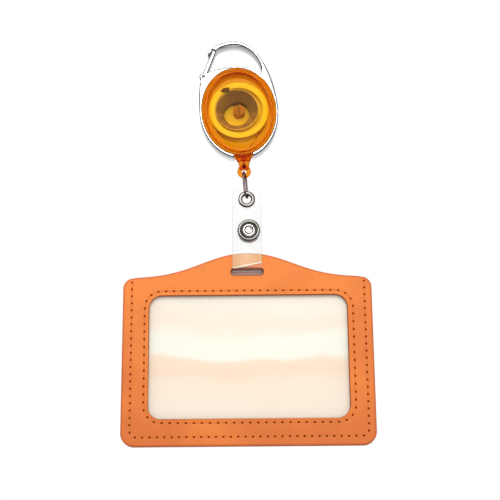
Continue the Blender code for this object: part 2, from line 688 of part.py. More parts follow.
def spool(look, spool_axis):
    hole = POST_RADIUS + RUN_GAP
    profile = [
        (hole, POCKET_FLOOR),
        (POCKET_RADIUS, POCKET_FLOOR),
        (POCKET_RADIUS, SPOOL_FRONT),
        (SPOOL_RADIUS, SPOOL_FRONT),
        (SPOOL_RADIUS, SPOOL_FRONT + SPOOL_FLANGE),
        (DRUM_RADIUS, SPOOL_FRONT + SPOOL_FLANGE),
        (DRUM_RADIUS, SPOOL_BACK - SPOOL_FLANGE),
        (SPOOL_RADIUS, SPOOL_BACK - SPOOL_FLANGE),
        (SPOOL_RADIUS, SPOOL_BACK),
        (hole, SPOOL_BACK),
    ]
    body = turned("spool", profile, (0, 0), look, spool_axis, False, OVAL_POINTS)
    start = POCKET_RADIUS - HOOK_NOTCH / 2
    end = DRUM_RADIUS + REST_GAP
    half = HOOK_NOTCH / 2
    corners = []
    for away, side in ((start, -half), (end, -half), (end, half), (start, half)):
        x = away * math.cos(HOOK_ANGLE) - side * math.sin(HOOK_ANGLE)
        z = away * math.sin(HOOK_ANGLE) + side * math.cos(HOOK_ANGLE)
        corners.append((x, z))
    notch = plate("hook_notch", [corners], SPOOL_FRONT - OVERRUN, POCKET_FLOOR - REST_GAP, look, spool_axis)
    shape_with(body, notch, "DIFFERENCE")


def mainspring(look, spool_axis):
    """A flat spiral strip, from its hook in the spool's wall to its tang in the split post."""
    steps = SPRING_TURNS * TURN_POINTS
    wound = []
    for i in range(steps + 1):
        share = i / steps
        radius = SPRING_OUTER_RADIUS + (SPRING_INNER_RADIUS - SPRING_OUTER_RADIUS) * share
        angle = HOOK_ANGLE - math.tau * i / TURN_POINTS
        set_x, set_z = (a + (b - a) * share for a, b in zip(SPRING_OUTER_SET, SPRING_INNER_SET))
        wound.append((set_x + radius * math.cos(angle), set_z + radius * math.sin(angle)))
    hook = DRUM_RADIUS - REST_GAP
    line = [(hook * math.cos(HOOK_ANGLE), hook * math.sin(HOOK_ANGLE))]
    line.append(tuple((a + b) / 2 for a, b in zip(line[0], wound[0])))
    line += wound
    # The last stretch closes on the post and turns down into its slot
    last = Vector(line[-1])
    entry = Vector((0.0, POST_RADIUS + SPRING_STRIP * 3))
    end_angle = math.atan2(last.y, last.x)
    sweep = end_angle - math.pi / 2
    for i in range(1, 5):
        share = i / 5
        radius = last.length + (entry.length - last.length) * share
        angle = end_angle - sweep * share
        line.append((radius * math.cos(angle), radius * math.sin(angle)))
    line.append((-SPRING_STRIP * 0.5, entry.y))
    line.append((0.0, POST_RADIUS))
    line.append((0.0, -POST_RADIUS / 2))
    front = SPOOL_FRONT + SPRING_STRIP * 2
    back = front + SPRING_WIDTH
    half = SPRING_STRIP / 2
    rings = []
    for i, here in enumerate(line):
        before = Vector(line[max(i - 1, 0)])
        after = Vector(line[min(i + 1, len(line) - 1)])
        run = (after - before).normalized()
        side = Vector((-run.y, run.x)) * half
        near = Vector(here) + side
        far = Vector(here) - side
        corners = ((near, front), (far, front), (far, back), (near, back))
        rings.append([(place.x, depth, place.y) for place, depth in corners])
    skin("mainspring", rings, look, spool_axis)
    gap = least_gap(wound, TURN_POINTS, SPRING_STRIP)
    print("mainspring least gap, mm:", round(gap / MM, 2))


def cord_winding(look, spool_axis):
    """The outer layer of cord, one unbroken helix on the drum that ends in a short straight run."""
    radius = DRUM_RADIUS + REST_GAP + CORD_RADIUS
    start_depth = SPOOL_FRONT + SPOOL_FLANGE + REST_GAP + CORD_RADIUS
    steps = WINDING_TURNS * TURN_POINTS
    points = []
    for i in range(steps + 1):
        angle = LEAD_ANGLE + math.tau * (steps - i) / TURN_POINTS
        depth = start_depth + WINDING_PITCH * i / TURN_POINTS
        points.append((radius * math.cos(angle), depth, radius * math.sin(angle)))
    end = Vector(points[-1])
    run = Vector((math.sin(LEAD_ANGLE), 0, -math.cos(LEAD_ANGLE)))
    tube("cord_winding", points + [tuple(end + run * CORD_RADIUS * 2)], CORD_RADIUS, look, spool_axis)
    print("cord winding least gap, mm:", round(least_gap(points, TURN_POINTS, CORD_RADIUS * 2) / MM, 2))
    return end + run * (CORD_RADIUS * 2 + REST_GAP)


def from_reel(point):
    """A place given in the leaning reel's axes, in the holder's own."""
    x, y, z = point
    cos = math.cos(REEL_LEAN)
    sin = math.sin(REEL_LEAN)
    return Vector((SPOOL_ACROSS + x * cos - z * sin, y, SPOOL_RISE + x * sin + z * cos))


def smooth_line(route, steps):
    """Points along a smooth curve through a route's own points."""
    ends = [route[0] * 2 - route[1]] + route + [route[-1] * 2 - route[-2]]
    line = []
    for a, b, c, d in zip(ends, ends[1:], ends[2:], ends[3:]):
        square = a * 2 - b * 5 + c * 4 - d
        cube = b * 3 - a - c * 3 + d
        for i in range(steps):
            t = i / steps
            line.append((b * 2 + (c - a) * t + square * t**2 + cube * t**3) / 2)
    return line + [route[-1]]


def cord_lead(look, pull_axis, start):
    """The stretch from the drum through the neck to the knot."""
    end_rise = EYE_TOP - KNOT_ROOM - CORD_ROOM + KNOT_RADIUS + REST_GAP
    route = [from_reel(start)]
    for across_share, down_share, depth_share in LEAD_WAY_SHARES:
        x = start.x * (1 - across_share)
        z = start.z - (HOUSING_HALF_HEIGHT + start.z) * down_share
        route.append(from_reel((x, start.y * depth_share, z)))
    route.append(Vector((CORD_ACROSS, 0, EYE_TOP + CORD_RADIUS * 5)))
    route.append(Vector((CORD_ACROSS, 0, end_rise)))
    tube("cord_lead", smooth_line(route, 5), CORD_RADIUS, look, pull_axis, 2)


def cord_knot(look, pull_axis):
    centre = EYE_TOP - KNOT_ROOM - CORD_ROOM
    levels = 7
    profile = []
    for i in range(levels):
        angle = math.pi * (i + 0.5) / levels
        profile.append((KNOT_RADIUS * math.sin(angle), centre + KNOT_RADIUS * math.cos(angle)))
    upright("cord_knot", profile, (CORD_ACROSS, 0), look, pull_axis, 12)


def cord_end(look, twist_axis):
    """The moulded eye: a neck that holds the knot, on a ring that the link hangs in."""
    knot_rise = EYE_TOP - KNOT_ROOM - CORD_ROOM
    foot = EYE_RING_RISE + EYE_RING_RADIUS - EYE_RING_WIRE
    round_over = REST_GAP
    profile = [
        (EYE_NECK_RADIUS - round_over, EYE_TOP),
        (EYE_NECK_RADIUS, EYE_TOP - round_over),
        (EYE_WAIST_RADIUS, EYE_TOP - round_over * 5),
        (EYE_WAIST_RADIUS, foot + round_over),
        (EYE_WAIST_RADIUS * 0.7, foot + round_over / 3),
    ]
    body = upright("cord_end", profile, (CORD_ACROSS, 0), look, twist_axis, 24)
    ring = hoop("eye_ring", (CORD_ACROSS, 0, EYE_RING_RISE), EYE_RING_RADIUS, EYE_RING_WIRE, look, twist_axis)
    shape_with(body, ring, "UNION")
    room = [
        (CORD_ROOM, EYE_TOP + OVERRUN),
        (CORD_ROOM, knot_rise + KNOT_ROOM * 0.8),
        (KNOT_ROOM, knot_rise + KNOT_ROOM * 0.4),
        (KNOT_ROOM, knot_rise - KNOT_ROOM * 0.4),
        (KNOT_ROOM * 0.6, knot_rise - KNOT_ROOM * 0.8),
    ]
    shape_with(body, upright("knot_room", room, (CORD_ACROSS, 0), look, twist_axis, 16), "DIFFERENCE")


def hoop(name, centre, radius, wire, look, carrier):
    """A ring of round wire that stands in the XZ plane."""
    rings = []
    for i in range(28):
        around = math.tau * i / 28
        ring = []
        for j in range(12):
            about = math.tau * j / 12
            away = radius + wire * math.cos(about)
            ring.append(
                (
                    centre[0] + away * math.cos(around),
                    centre[1] + wire * math.sin(about),
                    centre[2] + away * math.sin(around),
                )
            )
        rings.append(ring)
    return skin(name, rings, look, carrier, ring_closed=True)


def link(look, link_axis):
    """A long steel loop, its butted ends half way down the rear leg."""
    top = Vector((CORD_ACROSS, 0, LINK_TOP))
    foot = Vector((CHAIN_ACROSS, 0, LINK_FOOT))
    down = (foot - top).normalized()
    aside = Vector((math.sin(LINK_TWIST), math.cos(LINK_TWIST), 0.0))
    aside = (aside - down * aside.dot(down)).normalized()
    straight = (foot - top).length - LINK_BEND_RADIUS * 2
    half_gap = REST_GAP / 2
    points = []
    upper = top + down * LINK_BEND_RADIUS
    lower = upper + down * straight
    middle = (upper + lower) / 2
    points.append(middle + aside * LINK_BEND_RADIUS - down * half_gap)
    for centre, turn in ((upper, 0.0), (lower, math.pi)):
        for i in range(13):
            angle = turn + math.pi * i / 12
            points.append(centre + (aside * math.cos(angle) - down * math.sin(angle)) * LINK_BEND_RADIUS)
    points.append(middle + aside * LINK_BEND_RADIUS + down * half_gap)
    tube("link", points, LINK_WIRE, look, link_axis, 3)


def eased(value, start, end):
    """From 0 at start to 1 at end, level at both."""
    share = min(max((value - start) / (end - start), 0.0), 1.0)
    return share * share * (3 - 2 * share)


def spread(rise):
    """How much further than at the snap each layer stands out to pass the leather."""
    return (STRAP_SET - SNAP_STRAP_SET) * eased(rise, SNAP_RISE - SNAP_RADIUS, PEAK_RISE + HALF_STRIP)


def strap_set(rise):
    """How far the front layer stands in front of the middle plane at a height."""
    above = eased(rise, SNAP_RISE + SNAP_RADIUS, EYELET_RISE - EYELET_FLANGE_RADIUS)
    return SNAP_STRAP_SET * (1 - above) + spread(rise)


def flap_set(rise):
    """How far the rear layer stands behind the middle plane at a height."""
    above = eased(rise, SNAP_RISE + SNAP_RADIUS, FLAP_TOP)
    return SNAP_STRAP_SET + (FLAP_TOP_SET - SNAP_STRAP_SET) * above + spread(rise)


def corner_stations():
    """Distances from a round-cornered end, with the strip's half width at each."""
    stations = []
    for i in range(CORNER_POINTS + 1):
        angle = math.pi / 2 * i / CORNER_POINTS
        away = STRAP_CORNER * (1 - math.cos(angle))
        stations.append((away, STRAP_WIDTH / 2 - STRAP_CORNER * (1 - math.sin(angle))))
    return stations


def strip(name, path, look, carrier):
    """A flat strip along (depth, height, half width) stations."""
    rings = []
    for i, (depth, rise, half_width) in enumerate(path):
        before = path[max(i - 1, 0)]
        after = path[min(i + 1, len(path) - 1)]
        run = Vector((after[0] - before[0], after[1] - before[1])).normalized()
        out = Vector((-run.y, run.x)) * HALF_STRIP
        left = CHAIN_ACROSS - half_width
        right = CHAIN_ACROSS + half_width
        near = (depth + out.x, rise + out.y)
        far = (depth - out.x, rise - out.y)
        rings.append([(left, *near), (right, *near), (right, *far), (left, *far)])
    return skin(name, rings, look, carrier)


def strap(look, strap_axis):
    """The front layer, from its round top down the front of the bar and up behind it."""
    half_width = STRAP_WIDTH / 2
    path = [(-strap_set(STRAP_TOP - away), STRAP_TOP - away, half) for away, half in corner_stations()]
    start = path[-1][1]
    bend = STRAP_THICKNESS * 2
    fold_foot = SLOT_TOP - REST_GAP - HALF_STRIP
    bend_rise = fold_foot + bend
    steps = 22
    for i in range(1, steps + 1):
        rise = start + (bend_rise - start) * i / steps
        path.append((-strap_set(rise), rise, half_width))
    centre = STRAP_SET - bend
    for side, angles in ((-1, range(1, 7)), (1, range(6, 0, -1))):
        for i in angles:
            angle = math.pi / 2 * i / 6
            depth = side * (centre + bend * math.cos(angle))
            path.append((depth, bend_rise - bend * math.sin(angle), half_width))
    end = FLAP_FOOT - REST_GAP
    for i in range(7):
        rise = bend_rise + (end - bend_rise) * i / 6
        path.append((flap_set(rise), rise, half_width))
    body = strip("strap", path, look, strap_axis)
    for name, across, rise, radius in (
        ("eyelet_room", CHAIN_ACROSS, EYELET_RISE, EYELET_BORE + EYELET_BARREL + SEAT_GAP),
        ("cap_room", SNAP_ACROSS, SNAP_RISE, SNAP_POST_RADIUS + SEAT_GAP),
    ):
        depths = (-STRAP_SET - OVERRUN, OVERRUN) if name == "eyelet_room" else (-STRAP_SET - OVERRUN, 0.0)
        hole = turned(name, [(radius, depth) for depth in depths], (across, rise), look, strap_axis, True, 24)
        shape_with(body, hole, "DIFFERENCE")


def strap_flap(look, flap_axis):
    """The rear layer, whose free end lies behind the strap below the eyelet."""
    half_width = STRAP_WIDTH / 2
    path = []
    stations = corner_stations()
    body_top = FLAP_TOP - STRAP_CORNER
    steps = 14
    for i in range(steps):
        rise = FLAP_FOOT + (body_top - FLAP_FOOT) * i / steps
        path.append((flap_set(rise), rise, half_width))
    for away, half in reversed(stations):
        path.append((flap_set(FLAP_TOP - away), FLAP_TOP - away, half))
    body = strip("strap_flap", path, look, flap_axis)
    radius = SNAP_POST_RADIUS + SEAT_GAP
    profile = [(radius, 0.0), (radius, STRAP_SET + OVERRUN)]
    centre = (SNAP_ACROSS, SNAP_RISE)
    shape_with(body, turned("post_room", profile, centre, look, flap_axis, True, 24), "DIFFERENCE")


def eyelet(look, strap_axis):
    """A rolled grommet, and the washer that it is set against behind the strap."""
    face = -HALF_STRIP - SEAT_GAP
    front = face - EYELET_FLANGE
    washer_front = HALF_STRIP + SEAT_GAP
    washer_back = washer_front + WASHER_THICKNESS
    roll = washer_back + SEAT_GAP
    back = roll + WASHER_THICKNESS
    barrel = EYELET_BORE + EYELET_BARREL
    soft = EYELET_FLANGE / 2
    profile = [
        (EYELET_BORE, back - EYELET_REAR_BEVEL),
        (EYELET_BORE, front + soft),
        (EYELET_BORE + soft, front),
        (EYELET_FLANGE_RADIUS - soft, front),
        (EYELET_FLANGE_RADIUS, front + soft),
        (EYELET_FLANGE_RADIUS - soft / 2, face),
        (barrel, face),
        (barrel, roll),
        (barrel + EYELET_BARREL * 2, roll),
        (barrel + EYELET_BARREL, back),
        (EYELET_BORE + EYELET_REAR_BEVEL, back),
    ]
    centre = (CHAIN_ACROSS, EYELET_RISE)
    turned("eyelet", profile, centre, look, strap_axis, False, 32)
    bore = barrel + SEAT_GAP
    ring = [
        (bore, washer_front),
        (bore, washer_back),
        (EYELET_FLANGE_RADIUS - soft, washer_back),
        (EYELET_FLANGE_RADIUS, washer_front),
    ]
    turned("eyelet_washer", ring, centre, look, strap_axis, False, 32)


def snap_front(look, strap_axis):
    """The cap that shows in front, riveted through the strap, and the socket behind it."""
    centre = (SNAP_ACROSS, SNAP_RISE)
    face = -SNAP_STRAP_SET - HALF_STRIP - SEAT_GAP
    inner = -SNAP_STRAP_SET + HALF_STRIP + SEAT_GAP
    profile = [(SNAP_RADIUS * radius, face - SNAP_CAP_DEPTH * depth) for radius, depth in SNAP_FACE_SHARES]
    profile += [
        (SNAP_RADIUS - SNAP_RIM_RADIUS, face),
        (SNAP_POST_RADIUS, face),
        (SNAP_POST_RADIUS, inner + SNAP_PLATE / 2),
    ]
    turned("snap_cap", profile, centre, look, strap_axis, True)
    back = inner + SNAP_PLATE
    lip = SNAP_STRAP_SET - HALF_STRIP - SEAT_GAP - SNAP_PLATE - REST_GAP
    wall = SOCKET_BORE + SNAP_PLATE
    socket = [
        (SNAP_POST_RADIUS + SEAT_GAP, inner),
        (SOCKET_RADIUS, inner),
        (SOCKET_RADIUS, back),
        (wall + SNAP_PLATE, back),
        (wall, lip),
        (SOCKET_BORE, lip),
        (SOCKET_BORE, back - SNAP_PLATE / 2),
        (SNAP_POST_RADIUS + SEAT_GAP, back - SNAP_PLATE / 2),
    ]
    turned("snap_socket", socket, centre, look, strap_axis)


def snap_rear(look, flap_axis):
    """The stud that the socket grips, and the post whose stem holds it to the flap."""
    centre = (SNAP_ACROSS, SNAP_RISE)
    inner = SNAP_STRAP_SET - HALF_STRIP - SEAT_GAP
    face = inner - SNAP_PLATE
    stem = SNAP_POST_RADIUS - SEAT_GAP * 4
    tip = face - STUD_LENGTH
    stud = [
        (STUD_RADIUS * 0.6, tip),
        (STUD_RADIUS * 0.9, tip + SEAT_GAP * 2),
        (STUD_RADIUS, tip + SEAT_GAP * 5),
        (STUD_RADIUS * 0.87, face),
        (SOCKET_RADIUS, face),
        (SOCKET_RADIUS, inner),
        (stem + SEAT_GAP, inner),
        (stem + SEAT_GAP, face - SEAT_GAP * 3),
    ]
    turned("snap_stud", stud, centre, look, flap_axis, True)
    start = SNAP_STRAP_SET + HALF_STRIP + SEAT_GAP
    back = start + SNAP_PLATE * 2
    post = [
        (stem, face - SEAT_GAP),
        (stem, start),
        (SNAP_RADIUS - SNAP_RIM_RADIUS / 2, start),
        (SNAP_RADIUS, start + SNAP_PLATE),
        (SNAP_RADIUS - SNAP_RIM_RADIUS, back),
    ]
    turned("snap_post", post, centre, look, flap_axis, True)


def rounded_box(left, right, foot, top, radius):
    """A rectangle's outline with round corners."""
    radii = (radius, radius)
    outline = arc((right - radius, foot + radius), radii, -90, 0, CORNER_POINTS)
    outline += arc((right - radius, top - radius), radii, 0, 90, CORNER_POINTS)
    outline += arc((left + radius, top - radius), radii, 90, 180, CORNER_POINTS)
    outline += arc((left + radius, foot + radius), radii, 180, 270, CORNER_POINTS)
    return outline


def bell_rise(across):
    """The holder's top edge, a bell between level shoulders."""
    share = abs(across) / BELL_HALF_WIDTH
    return SHOULDER_RISE + SHOULDER_FALL * math.exp(-(share**BELL_SHARPNESS))


def holder_outline():
    half = HOLDER_WIDTH / 2
    left = CHAIN_ACROSS - half
    right = CHAIN_ACROSS + half
    foot_radii = (FOOT_RADIUS, FOOT_RADIUS)
    shoulder_radii = (SHOULDER_RADIUS, SHOULDER_RADIUS)
    outline = arc((right - FOOT_RADIUS, HOLDER_FOOT + FOOT_RADIUS), foot_radii, -90, 0, CORNER_POINTS + 1)
    shoulder = SHOULDER_RISE - SHOULDER_RADIUS
    outline += arc((right - SHOULDER_RADIUS, shoulder), shoulder_radii, 0, 90, CORNER_POINTS + 1)
    reach = half - SHOULDER_RADIUS
    steps = 26
    for i in range(1, steps):
        across = reach * (1 - 2 * i / steps)
        outline.append((CHAIN_ACROSS + across, bell_rise(across)))
    outline += arc((left + SHOULDER_RADIUS, shoulder), shoulder_radii, 90, 180, CORNER_POINTS + 1)
    outline += arc((left + FOOT_RADIUS, HOLDER_FOOT + FOOT_RADIUS), foot_radii, 180, 270, CORNER_POINTS + 1)
    return outline


def sewn_line(inset, radius):
    """Down the left side, along the foot and up the right side, an inset in from the holder's edge."""
    half = HOLDER_WIDTH / 2 - inset
    foot = HOLDER_FOOT + inset
    top = SHOULDER_RISE - SEAM_TOP_DROP
    line = [(CHAIN_ACROSS - half, top)]
    line += arc((CHAIN_ACROSS - half + radius, foot + radius), (radius, radius), 180, 270, CORNER_POINTS)
    line += arc((CHAIN_ACROSS + half - radius, foot + radius), (radius, radius), 270, 360, CORNER_POINTS)
    line.append((CHAIN_ACROSS + half, top))
    return line


def holder(looks, holder_axis):
    leather, film_look, lining_look, thread = looks
    front = -STACK_HALF
    front_back = front + PANEL_THICKNESS
    back = STACK_HALF
    back_front = back - PANEL_THICKNESS
    window_foot = HOLDER_FOOT + WINDOW_FOOT_BORDER
    half = WINDOW_WIDTH / 2
    sides = (CHAIN_ACROSS - half, CHAIN_ACROSS + half, window_foot, window_foot + WINDOW_HEIGHT)

    def window_grown(by):
        left, right, foot, top = sides
        return rounded_box(left - by, right + by, foot - by, top + by, WINDOW_RADIUS + by)

    slot_half = SLOT_WIDTH / 2
    slot_foot = SLOT_TOP - SLOT_HEIGHT
    slot_radius = SLOT_HEIGHT / 2 - PANEL_EDGE / 5
    slot_ends = (CHAIN_ACROSS - slot_half, CHAIN_ACROSS + slot_half)
    slot = rounded_box(*slot_ends, slot_foot, SLOT_TOP, slot_radius)
    outlines = [holder_outline(), window_grown(0.0), slot]
    panel = plate("front_panel", outlines, front, front_back, leather, holder_axis, PANEL_EDGE)
    # Rim behind the front panel, which closes the card pocket at both sides and the foot
    rim_outline = sewn_line(PANEL_EDGE, FOOT_RADIUS - PANEL_EDGE)
    rim_outline += list(reversed(sewn_line(RIM_WIDTH, PANEL_EDGE)))
    rim = plate("pocket_rim", [rim_outline], front + PANEL_THICKNESS / 2, back_front, leather, holder_axis)
    shape_with(panel, rim, "UNION")
    plate("back_panel", [holder_outline(), slot], back_front, back, leather, holder_axis, PANEL_EDGE)
    film_outline = [window_grown(FILM_LAP)]
    plate("window_film", film_outline, front_back, front_back + FILM_THICKNESS, film_look, holder_axis)
    plate("lining", film_outline, back_front - LINING_THICKNESS, back_front, lining_look, holder_axis)
    near = INNER_SEAM_SET - SEAM_WIDTH / 2
    far = INNER_SEAM_SET + SEAM_WIDTH / 2
    face = front - SEAM_RISE
    plate("inner_seam", [window_grown(far), window_grown(near)], face, front, thread, holder_axis)
    outside = OUTER_SEAM_INSET - SEAM_WIDTH / 2
    inside = OUTER_SEAM_INSET + SEAM_WIDTH / 2
    seam = sewn_line(outside, FOOT_RADIUS - outside)
    seam += list(reversed(sewn_line(inside, FOOT_RADIUS - inside)))
    plate("outer_seam", [seam], face, front, thread, holder_axis)


def build_holder():
    clear_scene()
    chrome = finish("chrome", (0.86, 0.86, 0.88), 0.12, metallic=1.0)
    steel = finish("steel", (0.62, 0.60, 0.58), 0.25, metallic=1.0)
    spring_steel = finish("spring_steel", (0.14, 0.09, 0.05), 0.35, metallic=0.8)
    amber = finish("amber_plastic", (0.85, 0.33, 0.02), 0.15, alpha=0.55)
    yellow = finish("spool_plastic", (0.95, 0.55, 0.03), 0.3)
    dark_cord = finish("cord", (0.03, 0.02, 0.02), 0.7)
    vinyl = finish("clear_vinyl", (0.93, 0.94, 0.95), 0.15, alpha=0.35)
    leather = finish("orange_leather", (0.84, 0.28, 0.08), 0.55)
    film = finish("window_film", (0.98, 0.96, 0.90), 0.12, alpha=0.35)
    lining = finish("lining", (0.97, 0.92, 0.83), 0.8)
    thread = finish("thread", (0.70, 0.26, 0.07), 0.7)

    reel = axis_at("reel_axis", (SPOOL_ACROSS, 0, SPOOL_RISE), lean=REEL_LEAN)
    reel_seat = axis_at("reel_seat", (0, 0, 0), reel)
    gate_axis = axis_at("gate_axis", (GATE_PIVOT_ACROSS, 0, GATE_PIVOT_RISE), reel_seat)
    spool_axis = axis_at("spool_axis", (0, 0, 0), reel_seat)
    pull_axis = axis_at("pull_axis", (CORD_ACROSS, 0, EYE_TOP))
    link_axis = axis_at("link_axis", (CORD_ACROSS, 0, LINK_TOP))
    strap_axis = axis_at("strap_axis", (CHAIN_ACROSS, 0, LINK_FOOT))
    flap_axis = axis_at("flap_axis", (CHAIN_ACROSS, flap_set(FLAP_FOOT), FLAP_FOOT))
    holder_axis = axis_at("holder_axis", (CHAIN_ACROSS, 0, HOLDER_SWING_RISE))

    pin_room = snap_ring(chrome, reel_seat, gate_axis)
    gate(chrome, gate_axis, pin_room)
    gate_pin(steel, reel_seat)
    gate_spring(spring_steel, reel_seat)
    housing(amber, reel_seat)
    spool(yellow, spool_axis)
    mainspring(spring_steel, spool_axis)
    lead_start = cord_winding(dark_cord, spool_axis)
    cord_lead(dark_cord, pull_axis, lead_start)
    cord_knot(dark_cord, pull_axis)
    cord_end(amber, pull_axis)
    link(steel, link_axis)
    strap(vinyl, strap_axis)
    strap_flap(vinyl, flap_axis)
    eyelet(chrome, strap_axis)
    snap_front(chrome, strap_axis)
    snap_rear(chrome, flap_axis)
    holder((leather, film, lining, thread), holder_axis)
    places = {
        "spool": from_reel((0, 0, 0)),
        "gate": from_reel((GATE_PIVOT_ACROSS, 0, GATE_PIVOT_RISE)),
        "cord": pull_axis.location,
        "link": link_axis.location,
        "strap": strap_axis.location,
        "flap": flap_axis.location,
        "holder": holder_axis.location,
    }
    for name, place in places.items():
        print(name, "axis at, m:", [round(value, 6) for value in place])


build_holder()
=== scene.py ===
"""Looks of a retractable badge holder, hanging by its snap ring in front of a white backdrop.

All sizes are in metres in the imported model's own axes: X to the right, Y to the back, Z up. Reel sizes
are measured from the spool's centre, in the axes of the leaning reel.
"""

import json
from collections import Counter
from math import acos, asin, cos, degrees, dist, exp, pi, radians, sin, tau
from types import SimpleNamespace

import bmesh
import bpy
import numpy as np
from mathutils import Matrix, Vector
from mathutils.geometry import delaunay_2d_cdt


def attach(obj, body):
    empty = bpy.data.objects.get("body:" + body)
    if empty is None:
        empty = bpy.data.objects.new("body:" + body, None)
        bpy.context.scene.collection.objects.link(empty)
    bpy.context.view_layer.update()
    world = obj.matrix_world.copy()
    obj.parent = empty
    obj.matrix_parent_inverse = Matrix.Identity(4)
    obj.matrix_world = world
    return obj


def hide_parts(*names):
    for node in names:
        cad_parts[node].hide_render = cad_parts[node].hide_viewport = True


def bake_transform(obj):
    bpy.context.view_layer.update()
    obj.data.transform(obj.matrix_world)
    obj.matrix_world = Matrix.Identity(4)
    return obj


MM = 0.001


def sizes(**lengths):
    """Named lengths, given in millimetres."""
    return SimpleNamespace(**{name: length * MM for name, length in lengths.items()})


# Camera, below the holder and looking a little up, with the floor far below it and the light of the studio
LOOK_AT = Vector((7.77 * MM, 0, -101.46 * MM))
CAMERA_DISTANCE = 540.3 * MM
CAMERA_RISE = radians(-16.0)
CAMERA_ROLL = radians(-0.5)
CAMERA_LENS = 84.9
FLOOR_RISE = -0.95
FLOOR_REACH = 1.6
EVEN_LIGHT = 0.69
MIRRORED_LIGHT = 1.1

# Reel, its housing, its snap ring and the gate
REEL_LEAN = radians(5.2)
SPOOL_AT = Vector((3.0725 * MM, 0, -33.7605 * MM))
TO_WORLD = Matrix.Translation(SPOOL_AT) @ Matrix.Rotation(-REEL_LEAN, 4, "Y")
CLEARANCE = 0.3 * MM
SPOOL = sizes(radius=14.0, front=-3.3, back=2.7, flange=0.75, drum=12.4, pocket=11.3, floor=0.9, hole=2.85)
SPRING = sizes(outer=10.1, inner=6.0, width=3.3)
SPRING_TURNS = 22
HOOK_ANGLE = radians(115.0)
SHELL = sizes(
    half_width=17.1, half_height=21.6, low=0.4, face=4.9, crown=0.45, round_width=1.35, round_depth=1.05, wall=1.0,
    inner_round=0.9, parting=0.02, lip_depth=3.8, lip=0.4,
)
RING = sizes(
    half_depth=3.5, half_width=18.5, drop=24.0, rise=35.8, fillet=0.6, neck=4.2, arc_foot=18.6, loop_top=33.9,
)
GATE = sizes(length=14.7, half=0.8, half_depth=2.4, knuckle=1.7, ear=1.8, pin=0.65, gap=0.1)
GATE_PIVOT = (-15.1 * MM, 18.8 * MM)
GATE_LEAN = radians(26.0)
GATE_SWING = radians(24.0)

# Cord, its moulded end and the link
CORD = sizes(across=5.338, radius=0.3, pitch=1.1, lead=4.2)
LEAD_ANGLE = radians(-34.5)
EYE = sizes(top=-59.058, ring=2.15, wire=1.05)
EYE_RING_AT = (CORD.across, -63.458 * MM)
LINK = sizes(top=-63.908, foot=-76.108, bend=2.8, wire=0.5)
LINK_TWIST = radians(13.0)

# Snap, eyelet and strap
CHAIN_ACROSS = 6.438 * MM
SNAP = sizes(radius=5.4, face=-1.8, height=1.3, face_radius=5.15)
SNAP_AT = (7.238 * MM, -92.158 * MM)
SNAP_FACE_AT = (SNAP_AT[0] + 0.1 * MM, SNAP_AT[1] - 0.4 * MM)
EYELET_AT = (CHAIN_ACROSS, -77.058 * MM)
EYELET_RADIUS = 3.9 * MM
# The strap's last size is the height of a painted highlight along its fold above the slot
STRAP = sizes(
    top=-72.458, half_width=6.7, half=0.25, corner=3.0, bend=1.0, set=2.275, snap_set=1.45, turn=-100.858,
    peak=-103.358, crease=-110.7,
)
FLAP = sizes(foot=-99.858, top=-78.858)
# Slant of the painted highlight along the strap's fold
FOLD_HIGHLIGHT_SLANT = 0.2

# Leather holder
HOLDER = sizes(
    width=112.4, foot=-190.758, shoulder=-114.758, bell=11.4, bell_width=27.3, upper_radius=4.8, lower_radius=6.0,
    rim=5.5,
)
SHEET = sizes(front=-1.725, front_inner=-0.725, back_inner=0.725, back=1.725, edge=0.4)
BELL_SHARPNESS = 2.2
# Painted shade: how far the leather's tone falls from its shoulder to its foot
LEATHER_FOOT_SHADE = 0.45
WINDOW = sizes(width=88.0, height=54.9, radius=5.5, lap=4.3, film=-0.60)
WINDOW_FOOT = HOLDER.foot + 12.0 * MM
SLOT = sizes(width=14.6, height=3.2, top=-110.558, back_width=13.5, back_height=1.0)
SEAM = sizes(
    outer_inset=4.0, inner_set=2.3, outer_pitch=3.25, inner_pitch=3.55, step=0.8, dip=0.16, dip_width=0.5,
    hole_reach=0.66, hole_spread=0.58, thread=0.24,
)
SEAM_TOP = HOLDER.shoulder - 2.0 * MM
# Distances from an edge of the leather that get points of their own, and the loose points between
EDGE_STEPS = (0.12 * MM, 0.27 * MM, SHEET.edge, 0.8 * MM, 1.4 * MM)
GRID = sizes(step=2.6, clearance=1.7)
# Widths of the dark band along the outer edge, a hole's edge, and a hole's edge up on the right
# The outer band is the edge's dye with painted shade where it rounds over; the wider one up on the right is painted
# shade
EDGE_BANDS = sizes(rim=0.75, edge=0.2, shaded=0.5)
SHADE_SLANT = 0.6
# Share of the way, size and rise at each step of a stitch
THREAD_STEPS = (
    (0.11, 0.45, -0.6), (0.18, 0.85, 0.2), (0.30, 1.0, 0.62), (0.5, 1.0, 0.7), (0.70, 1.0, 0.62), (0.82, 0.85, 0.2),
    (0.89, 0.45, -0.6),
)

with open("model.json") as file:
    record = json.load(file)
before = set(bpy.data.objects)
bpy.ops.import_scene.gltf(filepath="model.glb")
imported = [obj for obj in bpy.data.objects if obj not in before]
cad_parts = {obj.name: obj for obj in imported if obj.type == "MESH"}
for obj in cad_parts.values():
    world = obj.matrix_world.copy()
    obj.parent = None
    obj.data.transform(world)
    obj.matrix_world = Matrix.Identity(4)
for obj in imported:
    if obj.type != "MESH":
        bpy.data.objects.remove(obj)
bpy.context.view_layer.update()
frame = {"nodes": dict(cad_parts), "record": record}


# ---- Stage

def put(name, data):
    made = bpy.data.objects.new(name, data)
    bpy.context.scene.collection.objects.link(made)
    return made


